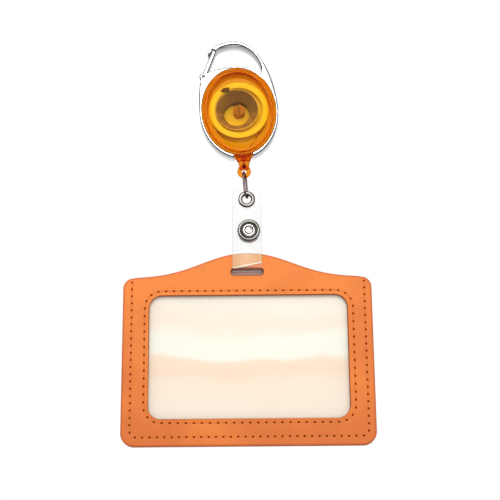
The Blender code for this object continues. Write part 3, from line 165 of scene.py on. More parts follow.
def camera():
    data = bpy.data.cameras.new("camera")
    data.lens = CAMERA_LENS
    data.clip_start = 0.01
    seen = put("camera", data)
    back = Vector((0, -cos(CAMERA_RISE), sin(CAMERA_RISE)))
    turn = (-back).to_track_quat("-Z", "Y").to_matrix().to_4x4()
    place = Matrix.Translation(LOOK_AT + back * CAMERA_DISTANCE)
    seen.matrix_world = place @ turn @ Matrix.Rotation(CAMERA_ROLL, 4, "Z")
    bpy.context.scene.camera = seen


def area_light(name, place, size, power):
    data = bpy.data.lights.new(name, "AREA")
    data.size = size
    data.energy = power
    lamp = put(name, data)
    lamp.location = place
    lamp.rotation_euler = (LOOK_AT - Vector(place)).to_track_quat("-Z", "Y").to_euler()


class Nodes:
    """Maker of the nodes of one tree. A socket that is given for an input is linked, a number or colour set."""

    def __init__(self, tree):
        self.tree = tree

    def feed(self, node, name, value):
        if isinstance(value, bpy.types.NodeSocket):
            self.tree.links.new(value, node.inputs[name])
        else:
            node.inputs[name].default_value = value

    def add(self, kind, inputs=(), **settings):
        made = self.tree.nodes.new("ShaderNode" + kind)
        for name, value in settings.items():
            setattr(made, name, value)
        for name, value in dict(inputs).items():
            self.feed(made, name, value)
        return made

    def maths(self, operation, *values):
        return self.add("Math", enumerate(values), operation=operation).outputs[0]

    def ramp(self, source, colours):
        """A colour ramp over a source, with (position, colour) stops."""
        made = self.add("ValToRGB", {0: source})
        bar = made.color_ramp
        while len(bar.elements) < len(colours):
            bar.elements.new(0.5)
        for element, (position, colour) in zip(bar.elements, colours):
            element.position = position
            element.color = (*colour, 1) if isinstance(colour, tuple) else (colour, colour, colour, 1)
        return made.outputs[0]

    def place(self):
        return self.add("TexCoord").outputs["Object"]

    def height(self):
        return self.add("SeparateXYZ", {0: self.place()}).outputs["Z"]

    def noise(self, scale, detail=2.0, stretch=(1, 1, 1)):
        place = self.add("Mapping", {0: self.place(), "Scale": stretch}).outputs[0]
        return self.add("TexNoise", {"Vector": place, "Scale": scale, "Detail": detail}).outputs[0]


def surroundings():
    """A soft studio for the light. In metal it is white with dark bands, and the camera sees plain white."""
    world = bpy.data.worlds.new("studio")
    bpy.context.scene.world = world
    world.use_nodes = True
    world.node_tree.nodes.clear()
    nodes = Nodes(world.node_tree)
    split = nodes.add("SeparateXYZ", {0: nodes.add("TexCoord").outputs["Generated"]})
    bands = [(0.0, 1.0), (0.12, 0.95), (0.20, 0.40), (0.28, 0.04), (0.41, 0.03), (0.45, 0.8), (0.55, 0.8),
             (0.59, 0.03), (0.90, 0.03), (0.95, 0.45), (1.0, 0.95)]
    mirror = nodes.ramp(nodes.maths("MULTIPLY_ADD", split.outputs["Y"], 0.5, 0.5), bands)
    banded, even, white = (
        nodes.add("Background", {"Color": colour, "Strength": strength}).outputs[0]
        for colour, strength in ((mirror, MIRRORED_LIGHT), ((*[EVEN_LIGHT] * 3, 1), 1.0), ((1, 1, 1, 1), 1.0))
    )
    ray = nodes.add("LightPath").outputs
    bare = nodes.maths("LESS_THAN", ray["Transmission Depth"], 0.5)
    mirrored = nodes.maths("MULTIPLY", ray["Is Glossy Ray"], bare)
    clear = nodes.maths("MAXIMUM", ray["Is Camera Ray"], ray["Is Transmission Ray"])
    studio = nodes.add("MixShader", {0: mirrored, 1: even, 2: banded}).outputs[0]
    nodes.add("OutputWorld", {0: nodes.add("MixShader", {0: clear, 1: studio, 2: white}).outputs[0]})


def floor():
    data = bpy.data.meshes.new("floor")
    corners = ((-1, -1), (1, -1), (1, 1), (-1, 1))
    data.from_pydata([(x * FLOOR_REACH, y * FLOOR_REACH, FLOOR_RISE) for x, y in corners], [], [(0, 1, 2, 3)])
    moulded_plastic("pale_floor", (0.79, 0.79, 0.79), (0.81, 0.81, 0.81), 0.8)
    data.materials.append(LOOKS["pale_floor"])
    put("floor", data)


# ---- Materials

LOOKS = {}


class Look(Nodes):
    """A Principled material, kept under its name."""

    def __init__(self, name, colour, roughness, **sockets):
        made = bpy.data.materials.new(name)
        made.use_nodes = True
        super().__init__(made.node_tree)
        LOOKS[name] = made
        self.shader = self.tree.nodes["Principled BSDF"]
        self.dress("Base Color", (*colour, 1))
        self.dress("Roughness", roughness)
        for socket, value in sockets.items():
            self.dress(socket.replace("_", " "), value)

    def dress(self, socket, value):
        self.feed(self.shader, socket, value)

    def tones(self, source, colours):
        self.dress("Base Color", self.ramp(source, colours))

    def bump(self, height, strength, distance):
        made = self.add("Bump", {"Strength": strength, "Distance": distance, "Height": height})
        self.dress("Normal", made.outputs[0])


def leather(name, low, high, roughness=0.5, shine=0.3):
    """Dyed leather: a soft change of tone at random, painted shade that darkens it towards the foot,
    and a fine pebbled grain.
    """
    look = Look(name, high, roughness, Specular_IOR_Level=shine)
    length = HOLDER.shoulder - HOLDER.foot
    middle = HOLDER.shoulder * 0.6 + HOLDER.foot * 0.4
    # Painted shade: the tone falls with height towards the foot
    share = look.maths("MULTIPLY_ADD", look.height(), LEATHER_FOOT_SHADE / length, -LEATHER_FOOT_SHADE * middle / length)
    tone = look.maths("ADD", share, look.noise(45.0, 3.0))
    look.tones(tone, [(0.2, low), (0.7, high)])
    pebble = look.add("TexVoronoi", {"Vector": look.place(), "Scale": 1700.0}, feature="SMOOTH_F1")
    look.bump(pebble.outputs["Distance"], 0.35, 0.00008)


def metal(name, colour, roughness):
    """Metal with fine scratches."""
    look = Look(name, colour, roughness, Metallic=1.0)
    look.dress("Roughness", look.ramp(look.noise(900.0, 3.0), [(0.35, roughness), (0.75, roughness * 2)]))


def clear_plastic(name, colour, alpha, roughness):
    look = Look(name, colour, roughness, Alpha=alpha)
    look.bump(look.noise(120.0), 0.08, 0.0004)


def tinted_plastic(name, colour, roughness=0.04, clear=1.0):
    """Clear moulded plastic that is dyed through."""
    look = Look(name, colour, roughness, Transmission_Weight=clear, IOR=1.18)
    look.bump(look.noise(160.0), 0.05, 0.0003)


def lining_and_glare():
    """Card stock in pale and peach tones that change in broad clouds, with a cream band across it that is
    a painted reflection of the glare on the film over it.
    """
    look = Look("lining", (1.0, 0.93, 0.84), 0.6)
    share = look.maths("MULTIPLY_ADD", look.height(), 1 / WINDOW.height, -WINDOW_FOOT / WINDOW.height - 0.28)
    cloud = look.maths("MULTIPLY_ADD", look.noise(24.0, 2.5, (0.7, 1.0, 1.6)), 0.56, share)
    pale = (1.0, 0.86, 0.70)
    peach = (1.0, 0.76, 0.56)
    film_glare = (1.0, 0.98, 0.86)
    # The cream band is a painted reflection of the film's glare
    colours = [(0.10, pale), (0.25, (1.0, 0.84, 0.67)), (0.36, peach), (0.47, (1.0, 0.80, 0.61)), (0.52, film_glare),
               (0.70, film_glare), (0.80, pale), (0.95, (1.0, 0.92, 0.79))]
    look.tones(cloud, colours)


def by_radius(look, centre, stretch, turn, colours):
    """Colours by distance in the XZ plane from a place, after a turn and a stretch along each axis."""
    spot = {0: look.place(), "Location": (centre[0], 0, centre[1]), "Rotation": (0, turn, 0),
            "Scale": (stretch[0], 1e6, stretch[1])}
    place = look.add("Mapping", spot, vector_type="TEXTURE").outputs[0]
    away = look.add("VectorMath", {0: place}, operation="LENGTH").outputs["Value"]
    look.tones(away, colours)


def amber_shell(name, transmission, colours):
    """Dyed clear plastic, deeper in colour towards the rim of the oval: painted shade for the light's
    longer way through the plastic there.
    """
    look = Look(name, (1, 1, 1), 0.05, Transmission_Weight=transmission, IOR=1.12)
    centre = (SPOOL_AT.x - SHELL.low * sin(REEL_LEAN), SPOOL_AT.z - SHELL.low * cos(REEL_LEAN))
    reach = (SHELL.half_width + SHELL.lip, SHELL.half_height + SHELL.lip)
    by_radius(look, centre, reach, -REEL_LEAN, colours)
    look.bump(look.noise(160.0), 0.05, 0.0003)


def ringed_metal(name, centre, radius, colours):
    """Pressed metal with rings of painted highlight and painted shade, by distance from its centre."""
    look = Look(name, (1, 1, 1), 0.12, Metallic=1.0)
    by_radius(look, centre, (radius, radius), 0.0, colours)
    look.bump(look.noise(1500.0), 0.1, 0.00005)


def along(look, way, rise, colours):
    """Colours by height over a slanted line, from 10 mm below it to 10 mm above it."""
    height = look.add("VectorMath", {0: look.place(), 1: (-way / MM, 0, 1 / MM)}, operation="DOT_PRODUCT")
    return look.ramp(look.maths("MULTIPLY_ADD", height.outputs["Value"], 0.05, -rise / MM * 0.05 + 0.5), colours)


def strap_vinyl():
    """Clear vinyl, milky where it lies over the leather: its own haze with a painted reflection. A painted highlight
    runs along the fold above the slot.
    """
    look = Look("strap_vinyl", (1.0, 0.96, 0.80), 0.12)
    # Alpha across the fold: a bright painted highlight just above the slot, nearly clear below it
    crease = [(0.46, 0.06), (0.485, 0.08), (0.497, 0.85), (0.515, 0.80), (0.53, 0.30), (1.0, 0.27)]
    # Tone across the fold: whiter at the painted highlight, a pale yellow veil above it
    tones = [(0.49, (1.0, 0.97, 0.90)), (0.53, (1.0, 0.88, 0.52))]
    streak_alpha, tone = (along(look, FOLD_HIGHLIGHT_SLANT, STRAP.crease, colours) for colours in (crease, tones))
    # Below the bar's peak the vinyl lies over the leather and is fuller; above it, faint and white
    faint, free = (along(look, 0.0, STRAP.peak, [(0.46, low), (0.49, high)]) for low, high in ((1.0, 0.35), (0.0, 1.0)))
    look.dress("Alpha", look.maths("MULTIPLY", streak_alpha, faint))
    # Base colour: the veil and painted highlight over the leather, white above the bar's peak
    node_or_mesh = look.add("Mix", {0: free, 6: tone, 7: (1.0, 1.0, 0.98, 1)}, data_type="RGBA")
    look.dress("Base Color", node_or_mesh.outputs[2])
    look.bump(look.noise(260.0), 0.06, 0.0003)


def twisted(name, low, high):
    """Twisted nylon: a painted highlight on the crown of each strand and painted shade between the strands,
    over a bump of the same twist.
    """
    look = Look(name, high, 0.6)
    twist = look.add("TexWave", {"Vector": look.place(), "Scale": 900.0}, bands_direction="DIAGONAL").outputs["Fac"]
    # Painted highlight on each strand's crown, painted shade between strands
    look.tones(twist, [(0.2, low), (0.8, high)])
    look.bump(twist, 0.4, 0.00005)


def moulded_plastic(name, low, high, roughness):
    """Opaque moulded plastic: a faint flow of tone and a satin surface."""
    look = Look(name, high, roughness)
    look.tones(look.noise(90.0, 3.0), [(0.35, low), (0.65, high)])
    look.bump(look.noise(700.0), 0.06, 0.00005)


def make_looks():
    # Colours for painted highlights, painted shade, and painted shade in hollows
    highlight = (0.95, 0.94, 0.92)
    shade = (0.03, 0.025, 0.02)
    hollow_shade = (0.05, 0.045, 0.04)
    for make, *values in (
        (metal, "chrome", (0.91, 0.91, 0.92), 0.05),
        # Dark steel for the link, tinted brown as a painted reflection of the amber beside it
        (metal, "steel", (0.20, 0.13, 0.125), 0.2),
        (metal, "spring_steel", (0.27, 0.16, 0.13), 0.4),
        # A darker copy of the spring steel for the strip's folded end: painted shade
        (metal, "dark_strip", (0.10, 0.05, 0.03), 0.4),
        (metal, "pin_steel", (0.10, 0.09, 0.09), 0.2),
        # A lighter copy of the spring steel for the outermost turn: a painted highlight
        (metal, "bright_strip", (0.80, 0.66, 0.55), 0.3),
        # A dark copy of chrome for rounded edges: a painted reflection of the studio's dark sides
        (metal, "chrome_edge", (0.13, 0.13, 0.14), 0.12),
        # Amber shells: paler in the middle and deeper towards the rim, as painted shade
        (amber_shell, "front_amber", 1.0,
         [(0.72, (0.98, 0.76, 0.25)), (0.82, (0.97, 0.62, 0.08)), (1.0, (0.92, 0.54, 0.04))]),
        (amber_shell, "rear_amber", 0.94, [(0.72, (0.82, 0.44, 0.03)), (0.84, (0.88, 0.42, 0.02))]),
        (tinted_plastic, "amber_plastic", (0.86, 0.29, 0.01)),
        (tinted_plastic, "amber_wall", (0.95, 0.36, 0.015), 0.3, 0.3),
        (tinted_plastic, "amber_rim", (0.80, 0.36, 0.02)),
        (tinted_plastic, "amber_post", (0.80, 0.36, 0.03), 0.2, 0.5),
        (moulded_plastic, "spool_plastic", (1.0, 0.80, 0.07), (1.0, 0.87, 0.11), 0.35),
        # A darker copy of the cord for the knot inside the moulded eye: painted shade
        (twisted, "knotted_cord", (0.10, 0.02, 0.004), (0.24, 0.06, 0.012)),
        (twisted, "cord", (0.80, 0.34, 0.04), (0.95, 0.45, 0.06)),
        (strap_vinyl,),
        # Grey for the strap's side faces: painted shade along its edges
        (clear_plastic, "vinyl_edge", (0.62, 0.66, 0.64), 0.45, 0.2),
        # Clear vinyl inside the slot, darkened reddish brown: painted shade
        (clear_plastic, "vinyl_fold", (0.36, 0.12, 0.06), 0.75, 0.12),
        (clear_plastic, "window_film", (1.0, 0.98, 0.94), 0.12, 0.08),
        (lining_and_glare,),
        (twisted, "thread", (0.76, 0.20, 0.035), (0.90, 0.28, 0.05)),
        (leather, "orange_leather", (0.74, 0.174, 0.030), (0.93, 0.250, 0.038)),
        # Outer edge of the leather: its dye, with painted shade where it rounds over
        (leather, "leather_rim", (0.60, 0.125, 0.026), (0.74, 0.165, 0.032)),
        # Cut edge of a hole: its dye, and painted shade in the wider band up on the right
        (leather, "leather_edge", (0.24, 0.055, 0.014), (0.32, 0.075, 0.018)),
        (leather, "leather_inside", (0.50, 0.30, 0.25), (0.60, 0.38, 0.32), 0.8),
        # Needle holes: dark discs laid on the leather as painted shade
        (leather, "needle_hole", (0.22, 0.028, 0.001), (0.30, 0.042, 0.002), 1.0, 0.0),
        # Snap face: light rings are painted highlights, dark rings painted shade in its grooves and at its rim
        (ringed_metal, "snap_metal", SNAP_FACE_AT, SNAP.face_radius,
         [(0.0, highlight), (0.25, highlight), (0.29, hollow_shade), (0.42, (0.08, 0.07, 0.06)), (0.45, highlight), (0.51, highlight),
          (0.55, shade), (0.77, shade), (0.80, highlight), (0.90, highlight), (0.93, shade)]),
        # Eyelet: painted shade, darkest in its hollow and at its rim, with a lighter ring as a painted highlight
        (ringed_metal, "eyelet_metal", EYELET_AT, EYELET_RADIUS,
         [(0.0, hollow_shade), (0.62, (0.04, 0.035, 0.03)), (0.70, (0.12, 0.11, 0.10)), (0.80, (0.26, 0.25, 0.23)),
          (0.87, (0.10, 0.09, 0.08)), (0.94, (0.02, 0.018, 0.016))]),
    ):
        make(*values)
    LOOKS["clear_vinyl"] = LOOKS["strap_vinyl"]


def dress_nodes():
    """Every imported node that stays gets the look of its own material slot."""
    for part in frame["record"]["subparts"]:
        for slot in frame["nodes"][part["node"]].material_slots:
            slot.material = LOOKS[part["material_slot"]]


# ---- Shapes

def mesh_object(name, build):
    """An object from a bmesh, which is used up."""
    bmesh.ops.recalc_face_normals(build, faces=build.faces)
    mesh = bpy.data.meshes.new(name)
    build.to_mesh(mesh)
    build.free()
    return put(name, mesh)


def new_piece(name, build, looks, body, node, sharp=60.0, place=None):
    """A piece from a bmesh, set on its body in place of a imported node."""
    piece = mesh_object(name, build)
    if place:
        piece.data.transform(place)
    piece.data.shade_smooth()
    piece.data.set_sharp_from_angle(angle=radians(sharp))
    for look in looks:
        piece.data.materials.append(LOOKS[look])
    if body:
        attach(piece, body)
    if node:
        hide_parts(node)
    return piece


def shape(add, *values):
    """A new bmesh with one shape in it."""
    build = bmesh.new()
    add(build, *values)
    return build


def in_mm(*rows):
    return [tuple(value * MM for value in row) for row in rows]


def turns(count):
    """The cosine and sine of each step round a full turn."""
    return [(cos(tau * i / count), sin(tau * i / count)) for i in range(count)]


def steps(start, end, count):
    return [start + (end - start) * i / count for i in range(count + 1)]


def quarter(count):
    return steps(0, pi / 2, count)


def turned(x, z, angle, centre):
    """A point turned about the origin and then moved by a centre."""
    return (centre[0] + x * cos(angle) - z * sin(angle), centre[1] + x * sin(angle) + z * cos(angle))


def polar(radius, angle, centre=(0, 0)):
    return turned(radius, 0, angle, centre)


def arc(centre, radius, start, end, count, height=None):
    """Points on a circle, or on an oval with its own height, from one angle in degrees to another."""
    angles = map(radians, steps(start, end, count))
    return [(centre[0] + radius * cos(angle), centre[1] + (height or radius) * sin(angle)) for angle in angles]


def arcs(*rows):
    return [point for row in rows for point in arc(*row)]


def oval(radii, depth, centre, count):
    """A ring that faces the front."""
    return [(centre[0] + radii[0] * c, depth, centre[1] + radii[1] * s) for c, s in turns(count)]


def level(across, radii, rise, count):
    """A ring that lies flat."""
    return [(across + radii[0] * c, radii[1] * s, rise) for c, s in turns(count)]


def at_depth(outline, depth):
    return [(x, depth, z) for x, z in outline]


def left_of(run):
    return Vector((-run.y, run.x))


def direction(points, i):
    """The way a line runs at one of its points."""
    before, after = points[max(i - 1, 0)], points[min(i + 1, len(points) - 1)]
    return Vector([b - a for a, b in zip(before, after)]).normalized()


def add_band(build, first, second):
    """Faces between two closed rings."""
    following = [*range(1, len(first)), 0]
    return [build.faces.new((first[i], first[j], second[j], second[i])) for i, j in enumerate(following)]


def add_skin(build, rings, closed=False, look=0):
    """Faces through rings of equally many points, with end caps unless closed."""
    loops = [[build.verts.new(point) for point in ring] for ring in rings]
    faces = [] if closed else [build.faces.new(loops[0]), build.faces.new(loops[-1])]
    for first, second in zip(loops, loops[1:] + (loops[:1] if closed else [])):
        faces += add_band(build, first, second)
    for face in faces:
        face.material_index = look


def add_slab(build, outline, depths, look=0):
    add_skin(build, [at_depth(outline, depth) for depth in depths], False, look)


def add_turned(build, profile, centre, count, solid=False):
    """A shape turned about an axis along Y, from radii and depths."""
    add_skin(build, [oval((radius, radius), depth, centre, count) for radius, depth in profile], not solid)


def neighbours(outline):
    """Each point of a closed outline, between the points before and after it."""
    points = [Vector(point) for point in outline]
    return zip(points[-1:] + points[:-1], points, points[1:] + points[:1])


def rounded(profile, radius):
    """A closed profile with each corner rounded as far as its sides allow."""
    made = []
    for before, here, after in neighbours(profile):
        reach = min(radius, (here - before).length * 0.45, (after - here).length * 0.45)
        start = here + (before - here).normalized() * reach
        end = here + (after - here).normalized() * reach
        for t in (0, 1 / 3, 2 / 3, 1):
            made.append(tuple(start * (1 - t) ** 2 + here * 2 * t * (1 - t) + end * t**2))
    return made


def swollen(outline, distance):
    """A closed outline, counterclockwise, moved outward by a distance."""
    moved = []
    for before, here, after in neighbours(outline):
        back, on = left_of((here - before).normalized()), left_of((after - here).normalized())
        mitre = (back + on) / (1.0 + max(back.dot(on), -0.5))
        moved.append(tuple(here - mitre * distance))
    return moved


def evenly(line, pitch, closed):
    """Points a pitch apart along a line, the pitch trimmed to fit, with the line's direction at each."""
    points = [Vector(point) for point in line + line[:closed]]
    lengths = [0.0]
    for a, b in zip(points, points[1:]):
        lengths.append(lengths[-1] + (b - a).length)
    count = round(lengths[-1] / pitch)
    made = []
    segment = 0
    for i in range(count + (not closed)):
        away = lengths[-1] * i / count
        while segment < len(points) - 2 and lengths[segment + 1] < away:
            segment += 1
        a, b = points[segment], points[segment + 1]
        share = (away - lengths[segment]) / max(lengths[segment + 1] - lengths[segment], 1e-9)
        made.append((a.lerp(b, share), (b - a).normalized()))
    return made


# ---- Leather holder

def sewn_line(inset, radius, top=SEAM_TOP):
    """Down the left side, along the foot and up the right side, an inset in from the holder's edge."""
    left = CHAIN_ACROSS - HOLDER.width / 2 + inset
    right = CHAIN_ACROSS + HOLDER.width / 2 - inset
    foot = HOLDER.foot + inset + radius
    corners = arcs(((left + radius, foot), radius, 180, 270, 10), ((right - radius, foot), radius, 270, 360, 10))
    return [(left, top)] + corners + [(right, top)]


def rounded_box(width, foot, top, radius, count, shoulder=None):
    """A box on the holder's middle line, with rounded corners. Its upper ones may have a radius of their own."""
    corners = []
    for i, (side, size) in enumerate(((1, radius), (1, shoulder or radius), (-1, shoulder or radius), (-1, radius))):
        rise = top - size if i in (1, 2) else foot + size
        corners.append(((CHAIN_ACROSS + side * (width / 2 - size), rise), size, 90 * i - 90, 90 * i, count))
    return arcs(*corners)


def holder_outline():
    """The leather's edge: a box with a bell between its shoulders."""
    box = rounded_box(HOLDER.width, HOLDER.foot, HOLDER.shoulder, HOLDER.lower_radius, 12, HOLDER.upper_radius)
    reach = HOLDER.width / 2 - HOLDER.upper_radius
    bell = []
    for across in steps(reach, -reach, 60)[1:-1]:
        rise = HOLDER.bell * exp(-((abs(across) / HOLDER.bell_width) ** BELL_SHARPNESS))
        bell.append((CHAIN_ACROSS + across, HOLDER.shoulder + rise))
    half = len(box) // 2
    return box[:half] + bell + box[half:]


def window_outline(grown):
    top = WINDOW_FOOT + WINDOW.height + grown
    return rounded_box(WINDOW.width + 2 * grown, WINDOW_FOOT - grown, top, WINDOW.radius + grown, 12)


def slot_outline(width, height):
    return rounded_box(width, SLOT.top - height, SLOT.top, height / 2 - 0.05 * MM, 8)


def widened(line, left, right, foot, head):
    """A line round the window with each of its sides moved outwards by its own share of a millimetre."""
    middle = WINDOW_FOOT + WINDOW.height / 2
    return [
        (x + (right if x > CHAIN_ACROSS else -left) * MM, z + (head if z > middle else -foot) * MM)
        for x, z in line
    ]


def distance_to(points, lines):
    """Distance from each point to the nearest of some open or closed lines."""
    best = np.full(len(points), 1.0)
    for line, closed in lines:
        ends = np.array(line + line[:closed])
        for a, b in zip(ends, ends[1:]):
            run = b - a
            share = np.clip(((points - a) @ run) / max(run @ run, 1e-18), 0, 1)
            best = np.minimum(best, np.hypot(*(points - a - share[:, None] * run).T))
    return best


def inside(points, outlines):
    """Whether each point lies in the first of some closed outlines and in none of the others, its holes."""
    within = np.zeros(len(points), bool)
    for outline in outlines:
        for (ax, az), (bx, bz) in zip(outline, outline[1:] + outline[:1]):
            if az != bz:
                crosses = (az > points[:, 1]) != (bz > points[:, 1])
                within ^= crosses & (points[:, 0] < ax + (points[:, 1] - az) * (bx - ax) / (bz - az))
    return within


def leather_sheet(build, outline, holes, seams, face, back):
    """One layer of leather: its face rounds over at each edge and dips along each seam.

    Its looks are the face, the cut edge of a hole, the back and the outer edge. Both edge looks reach onto the face as
    dark bands: along the outer edge its dye with painted shade where it rounds over, and round a hole a band that
    widens up on the right as painted shade.
    """
    loops = [outline, *holes]
    edges = [(loop, True) for loop in loops]
    tied = list(loops)
    for step in EDGE_STEPS:
        tied += [swollen(outline, -step)] + [swollen(hole, step) for hole in holes]
    ties = []
    for loop in tied:
        start = len(ties)
        ties += [(start + i, start + (i + 1) % len(loop)) for i in range(len(loop))]
    extra = []
    for line, closed in seams:
        for centre, run in evenly(line, SEAM.step, closed):
            extra += [tuple(centre + left_of(run) * away * MM) for away in (-1.0, -0.55, -0.25, 0.0, 0.25, 0.55, 1.0)]
    low = np.array(outline).min(0)
    across, up = (int(span / GRID.step) + 1 for span in np.array(outline).max(0) - low)
    extra += [(low[0] + i * GRID.step, low[1] + k * GRID.step) for i in range(across) for k in range(up)]
    extra = np.array(extra)
    extra = extra[inside(extra, loops) & (distance_to(extra, edges) > GRID.clearance)]
    places = [Vector(point) for point in np.concatenate([*tied, extra])]
    flat, _, triangles, *_ = delaunay_2d_cdt(places, ties, [], 0, 1e-7)
    flat = np.array([tuple(point) for point in flat])
    centres = np.array([flat[list(triangle)].mean(0) for triangle in triangles])
    wide = distance_to(flat, edges[:1])
    holed = distance_to(flat, edges[1:])
    near = np.minimum(np.minimum(wide, holed), SHEET.edge)
    over = SHEET.edge - np.sqrt(np.maximum(SHEET.edge**2 - (SHEET.edge - near) ** 2, 0))
    dip = SEAM.dip * np.exp(-((distance_to(flat, seams) / SEAM.dip_width) ** 2))
    depths = face + (1.0 if back > face else -1.0) * (over + dip)
    front = [build.verts.new((x, y, z)) for (x, z), y in zip(flat, depths)]
    rear = [build.verts.new((x, back, z)) for x, z in flat]
    shaded = WINDOW_FOOT + WINDOW.height / 2 + SHADE_SLANT * CHAIN_ACROSS + 4 * MM
    used = Counter()
    for triangle, middle, wanted in zip(triangles, centres, inside(centres, loops)):
        if not wanted:
            continue
        outer = build.faces.new([front[i] for i in triangle])
        # Round a hole the dark band widens up on the right: painted shade
        hole_band = EDGE_BANDS.shaded if middle[1] + SHADE_SLANT * middle[0] > shaded else EDGE_BANDS.edge
        # Along the outer edge the dark band is the edge's dye, with painted shade where it rounds over
        if wide[list(triangle)].mean() < EDGE_BANDS.rim:
            outer.material_index = 3
        elif holed[list(triangle)].mean() < hole_band:
            outer.material_index = 1
        build.faces.new([rear[i] for i in triangle]).material_index = 2
        used.update((min(pair), max(pair)) for pair in zip(triangle, triangle[1:] + triangle[:1]))
    for (i, j), times in used.items():
        if times == 1:
            wall = build.faces.new((front[i], front[j], rear[j], rear[i]))
            wall.material_index = 3 if wide[i] < 0.05 * MM else 1
    bmesh.ops.delete(build, geom=[vert for vert in build.verts if not vert.link_faces], context="VERTS")


def stitches(build, line, closed, pitch, face, outward):
    """Thread between needle holes: look 0 is thread, look 1 a dark disc that paints the shade
    of the hole that it dives into.
    """
    places = evenly(line, pitch, closed)
    for i, (start, run) in enumerate(places):
        across = left_of(run)
        hole = []
        for size, rise in ((1.0, 0.005), (0.8, 0.05)):
            ring = [start + (run * SEAM.hole_reach * c + across * SEAM.hole_spread * s) * size for c, s in turns(12)]
            hole.append(at_depth(ring, face + outward * rise * MM))
        add_skin(build, hole, False, 1)
        if i == len(places) - 1 and not closed:
            break
        thread = places[(i + 1) % len(places)][0] - start
        side = left_of(thread.normalized())
        rings = []
        for share, size, rise in THREAD_STEPS:
            rings.append([])
            for c, s in turns(8):
                place = start + thread * share + side * c * SEAM.thread * size
                height = SEAM.thread * (size * s * 0.6 + rise * 0.5)
                rings[-1].append((place.x, face + outward * height, place.y))
        add_skin(build, rings)


def leather_holder():
    outline = holder_outline()
    outer = (widened(sewn_line(SEAM.outer_inset, 3.2 * MM), 0.0, 0.65, 0.0, 0.0), False)
    inner = (widened(window_outline(SEAM.inner_set), 0.0, 1.2, -0.45, 0.55), True)
    window = widened(window_outline(0.0), 0.25, 0.8, 0.0, 0.6)
    slot, back_slot = slot_outline(SLOT.width, SLOT.height), slot_outline(SLOT.back_width, SLOT.back_height)
    front = shape(leather_sheet, outline, [window, slot], [outer, inner], SHEET.front, SHEET.front_inner)
    rim = sewn_line(0.25 * MM, HOLDER.lower_radius, HOLDER.shoulder - HOLDER.upper_radius)
    rim += reversed(sewn_line(HOLDER.rim, 0.3 * MM, HOLDER.shoulder - HOLDER.upper_radius))
    add_slab(front, rim, (SHEET.front_inner, SHEET.back_inner - 0.02 * MM), 3)
    back = shape(leather_sheet, outline, [back_slot], [outer], SHEET.back, SHEET.back_inner)
    looks = ("orange_leather", "leather_edge", "leather_inside", "leather_rim")
    new_piece("front_leather", front, looks, "holder", "front_panel")
    new_piece("back_leather", back, looks, "holder", "back_panel")
    for name, (line, closed), pitch, face, outward, node in (
        ("outer_stitches", outer, SEAM.outer_pitch, SHEET.front, -1, "outer_seam"),
        ("inner_stitches", inner, SEAM.inner_pitch, SHEET.front, -1, "inner_seam"),
        ("back_stitches", outer, SEAM.outer_pitch, SHEET.back, 1, None),
    ):
        seam = shape(stitches, line, closed, pitch, face - outward * 0.12 * MM, outward)
        new_piece(name, seam, ("thread", "needle_hole"), "holder", node)


def window_layers():
    """Soft clear film behind the window, a little slack, and the stiff card behind it."""
    build = bmesh.new()
    outline = np.array(window_outline(WINDOW.lap))
    low = outline.min(0)
    span = outline.max(0) - low
    rows = []
    for up in steps(0, 1, 40):
        rows.append([])
        for across in steps(0, 1, 60):
            x, z = low + span * (across, up)
            wave = sin(x / (9.0 * MM) + 2.2 * sin(z / (17.0 * MM))) + sin(z / (7.0 * MM) - x / (30 * MM))
            slack = (0.18 + 0.16 * wave) * MM * sin(pi * across) * sin(pi * up)
            rows[-1].append(build.verts.new((x, WINDOW.film + slack, z)))
    for first, second in zip(rows, rows[1:]):
        for corners in zip(first, first[1:], second[1:], second):
            build.faces.new(corners)
    new_piece("wavy_film", build, ("window_film",), "holder", "window_film", sharp=180.0)
    card = shape(add_plate, window_outline(WINDOW.lap), SHEET.back_inner - 0.3 * MM, SHEET.back_inner, 0.1 * MM)
    new_piece("card_lining", card, ("lining", "lining"), "holder", "lining")


# ---- Snap and eyelet

def snap_and_eyelet():
    """The snap's ringed face and the eyelet, rolled over the strap's front and its washer."""
    shares = (
        (0.02, 0.72), (0.07, 0.70), (0.15, 0.66), (0.20, 0.52), (0.25, 0.44), (0.33, 0.42), (0.37, 0.55),
        (0.40, 0.70), (0.44, 0.76), (0.48, 0.72), (0.50, 0.40), (0.53, 0.20), (0.60, 0.14), (0.72, 0.16),
        (0.78, 0.30), (0.80, 0.62), (0.82, 0.86), (0.85, 1.00), (0.88, 0.98), (0.91, 0.78), (0.92, 0.50),
        (0.99, 0.44), (1.00, 0.30), (0.97, 0.05),
    )
    face = [(SNAP.face_radius * radius, SNAP.face - SNAP.height * height) for radius, height in shares]
    face += [(4.7 * MM, SNAP.face), (1.3 * MM, SNAP.face), (1.3 * MM, -0.9 * MM)]
    snap = shape(add_turned, face, SNAP_FACE_AT, 96, True)
    new_piece("snap_face", snap, ("snap_metal",), "strap", "snap_cap", 50.0)
    profile = in_mm(
        (2.0, 0.35), (2.0, -0.15), (2.1, -0.5), (2.45, -0.7), (3.1, -0.7), (3.6, -0.62), (EYELET_RADIUS / MM, -0.4),
        (3.8, -0.35), (2.35, -0.35), (2.35, 0.65), (3.0, 0.65), (2.8, 0.85), (2.5, 0.85),
    )
    eyelet = shape(add_turned, rounded(profile, 0.12 * MM), EYELET_AT, 72)
    new_piece("rolled_eyelet", eyelet, ("eyelet_metal",), "strap", "eyelet", 50.0)


# ---- Reel

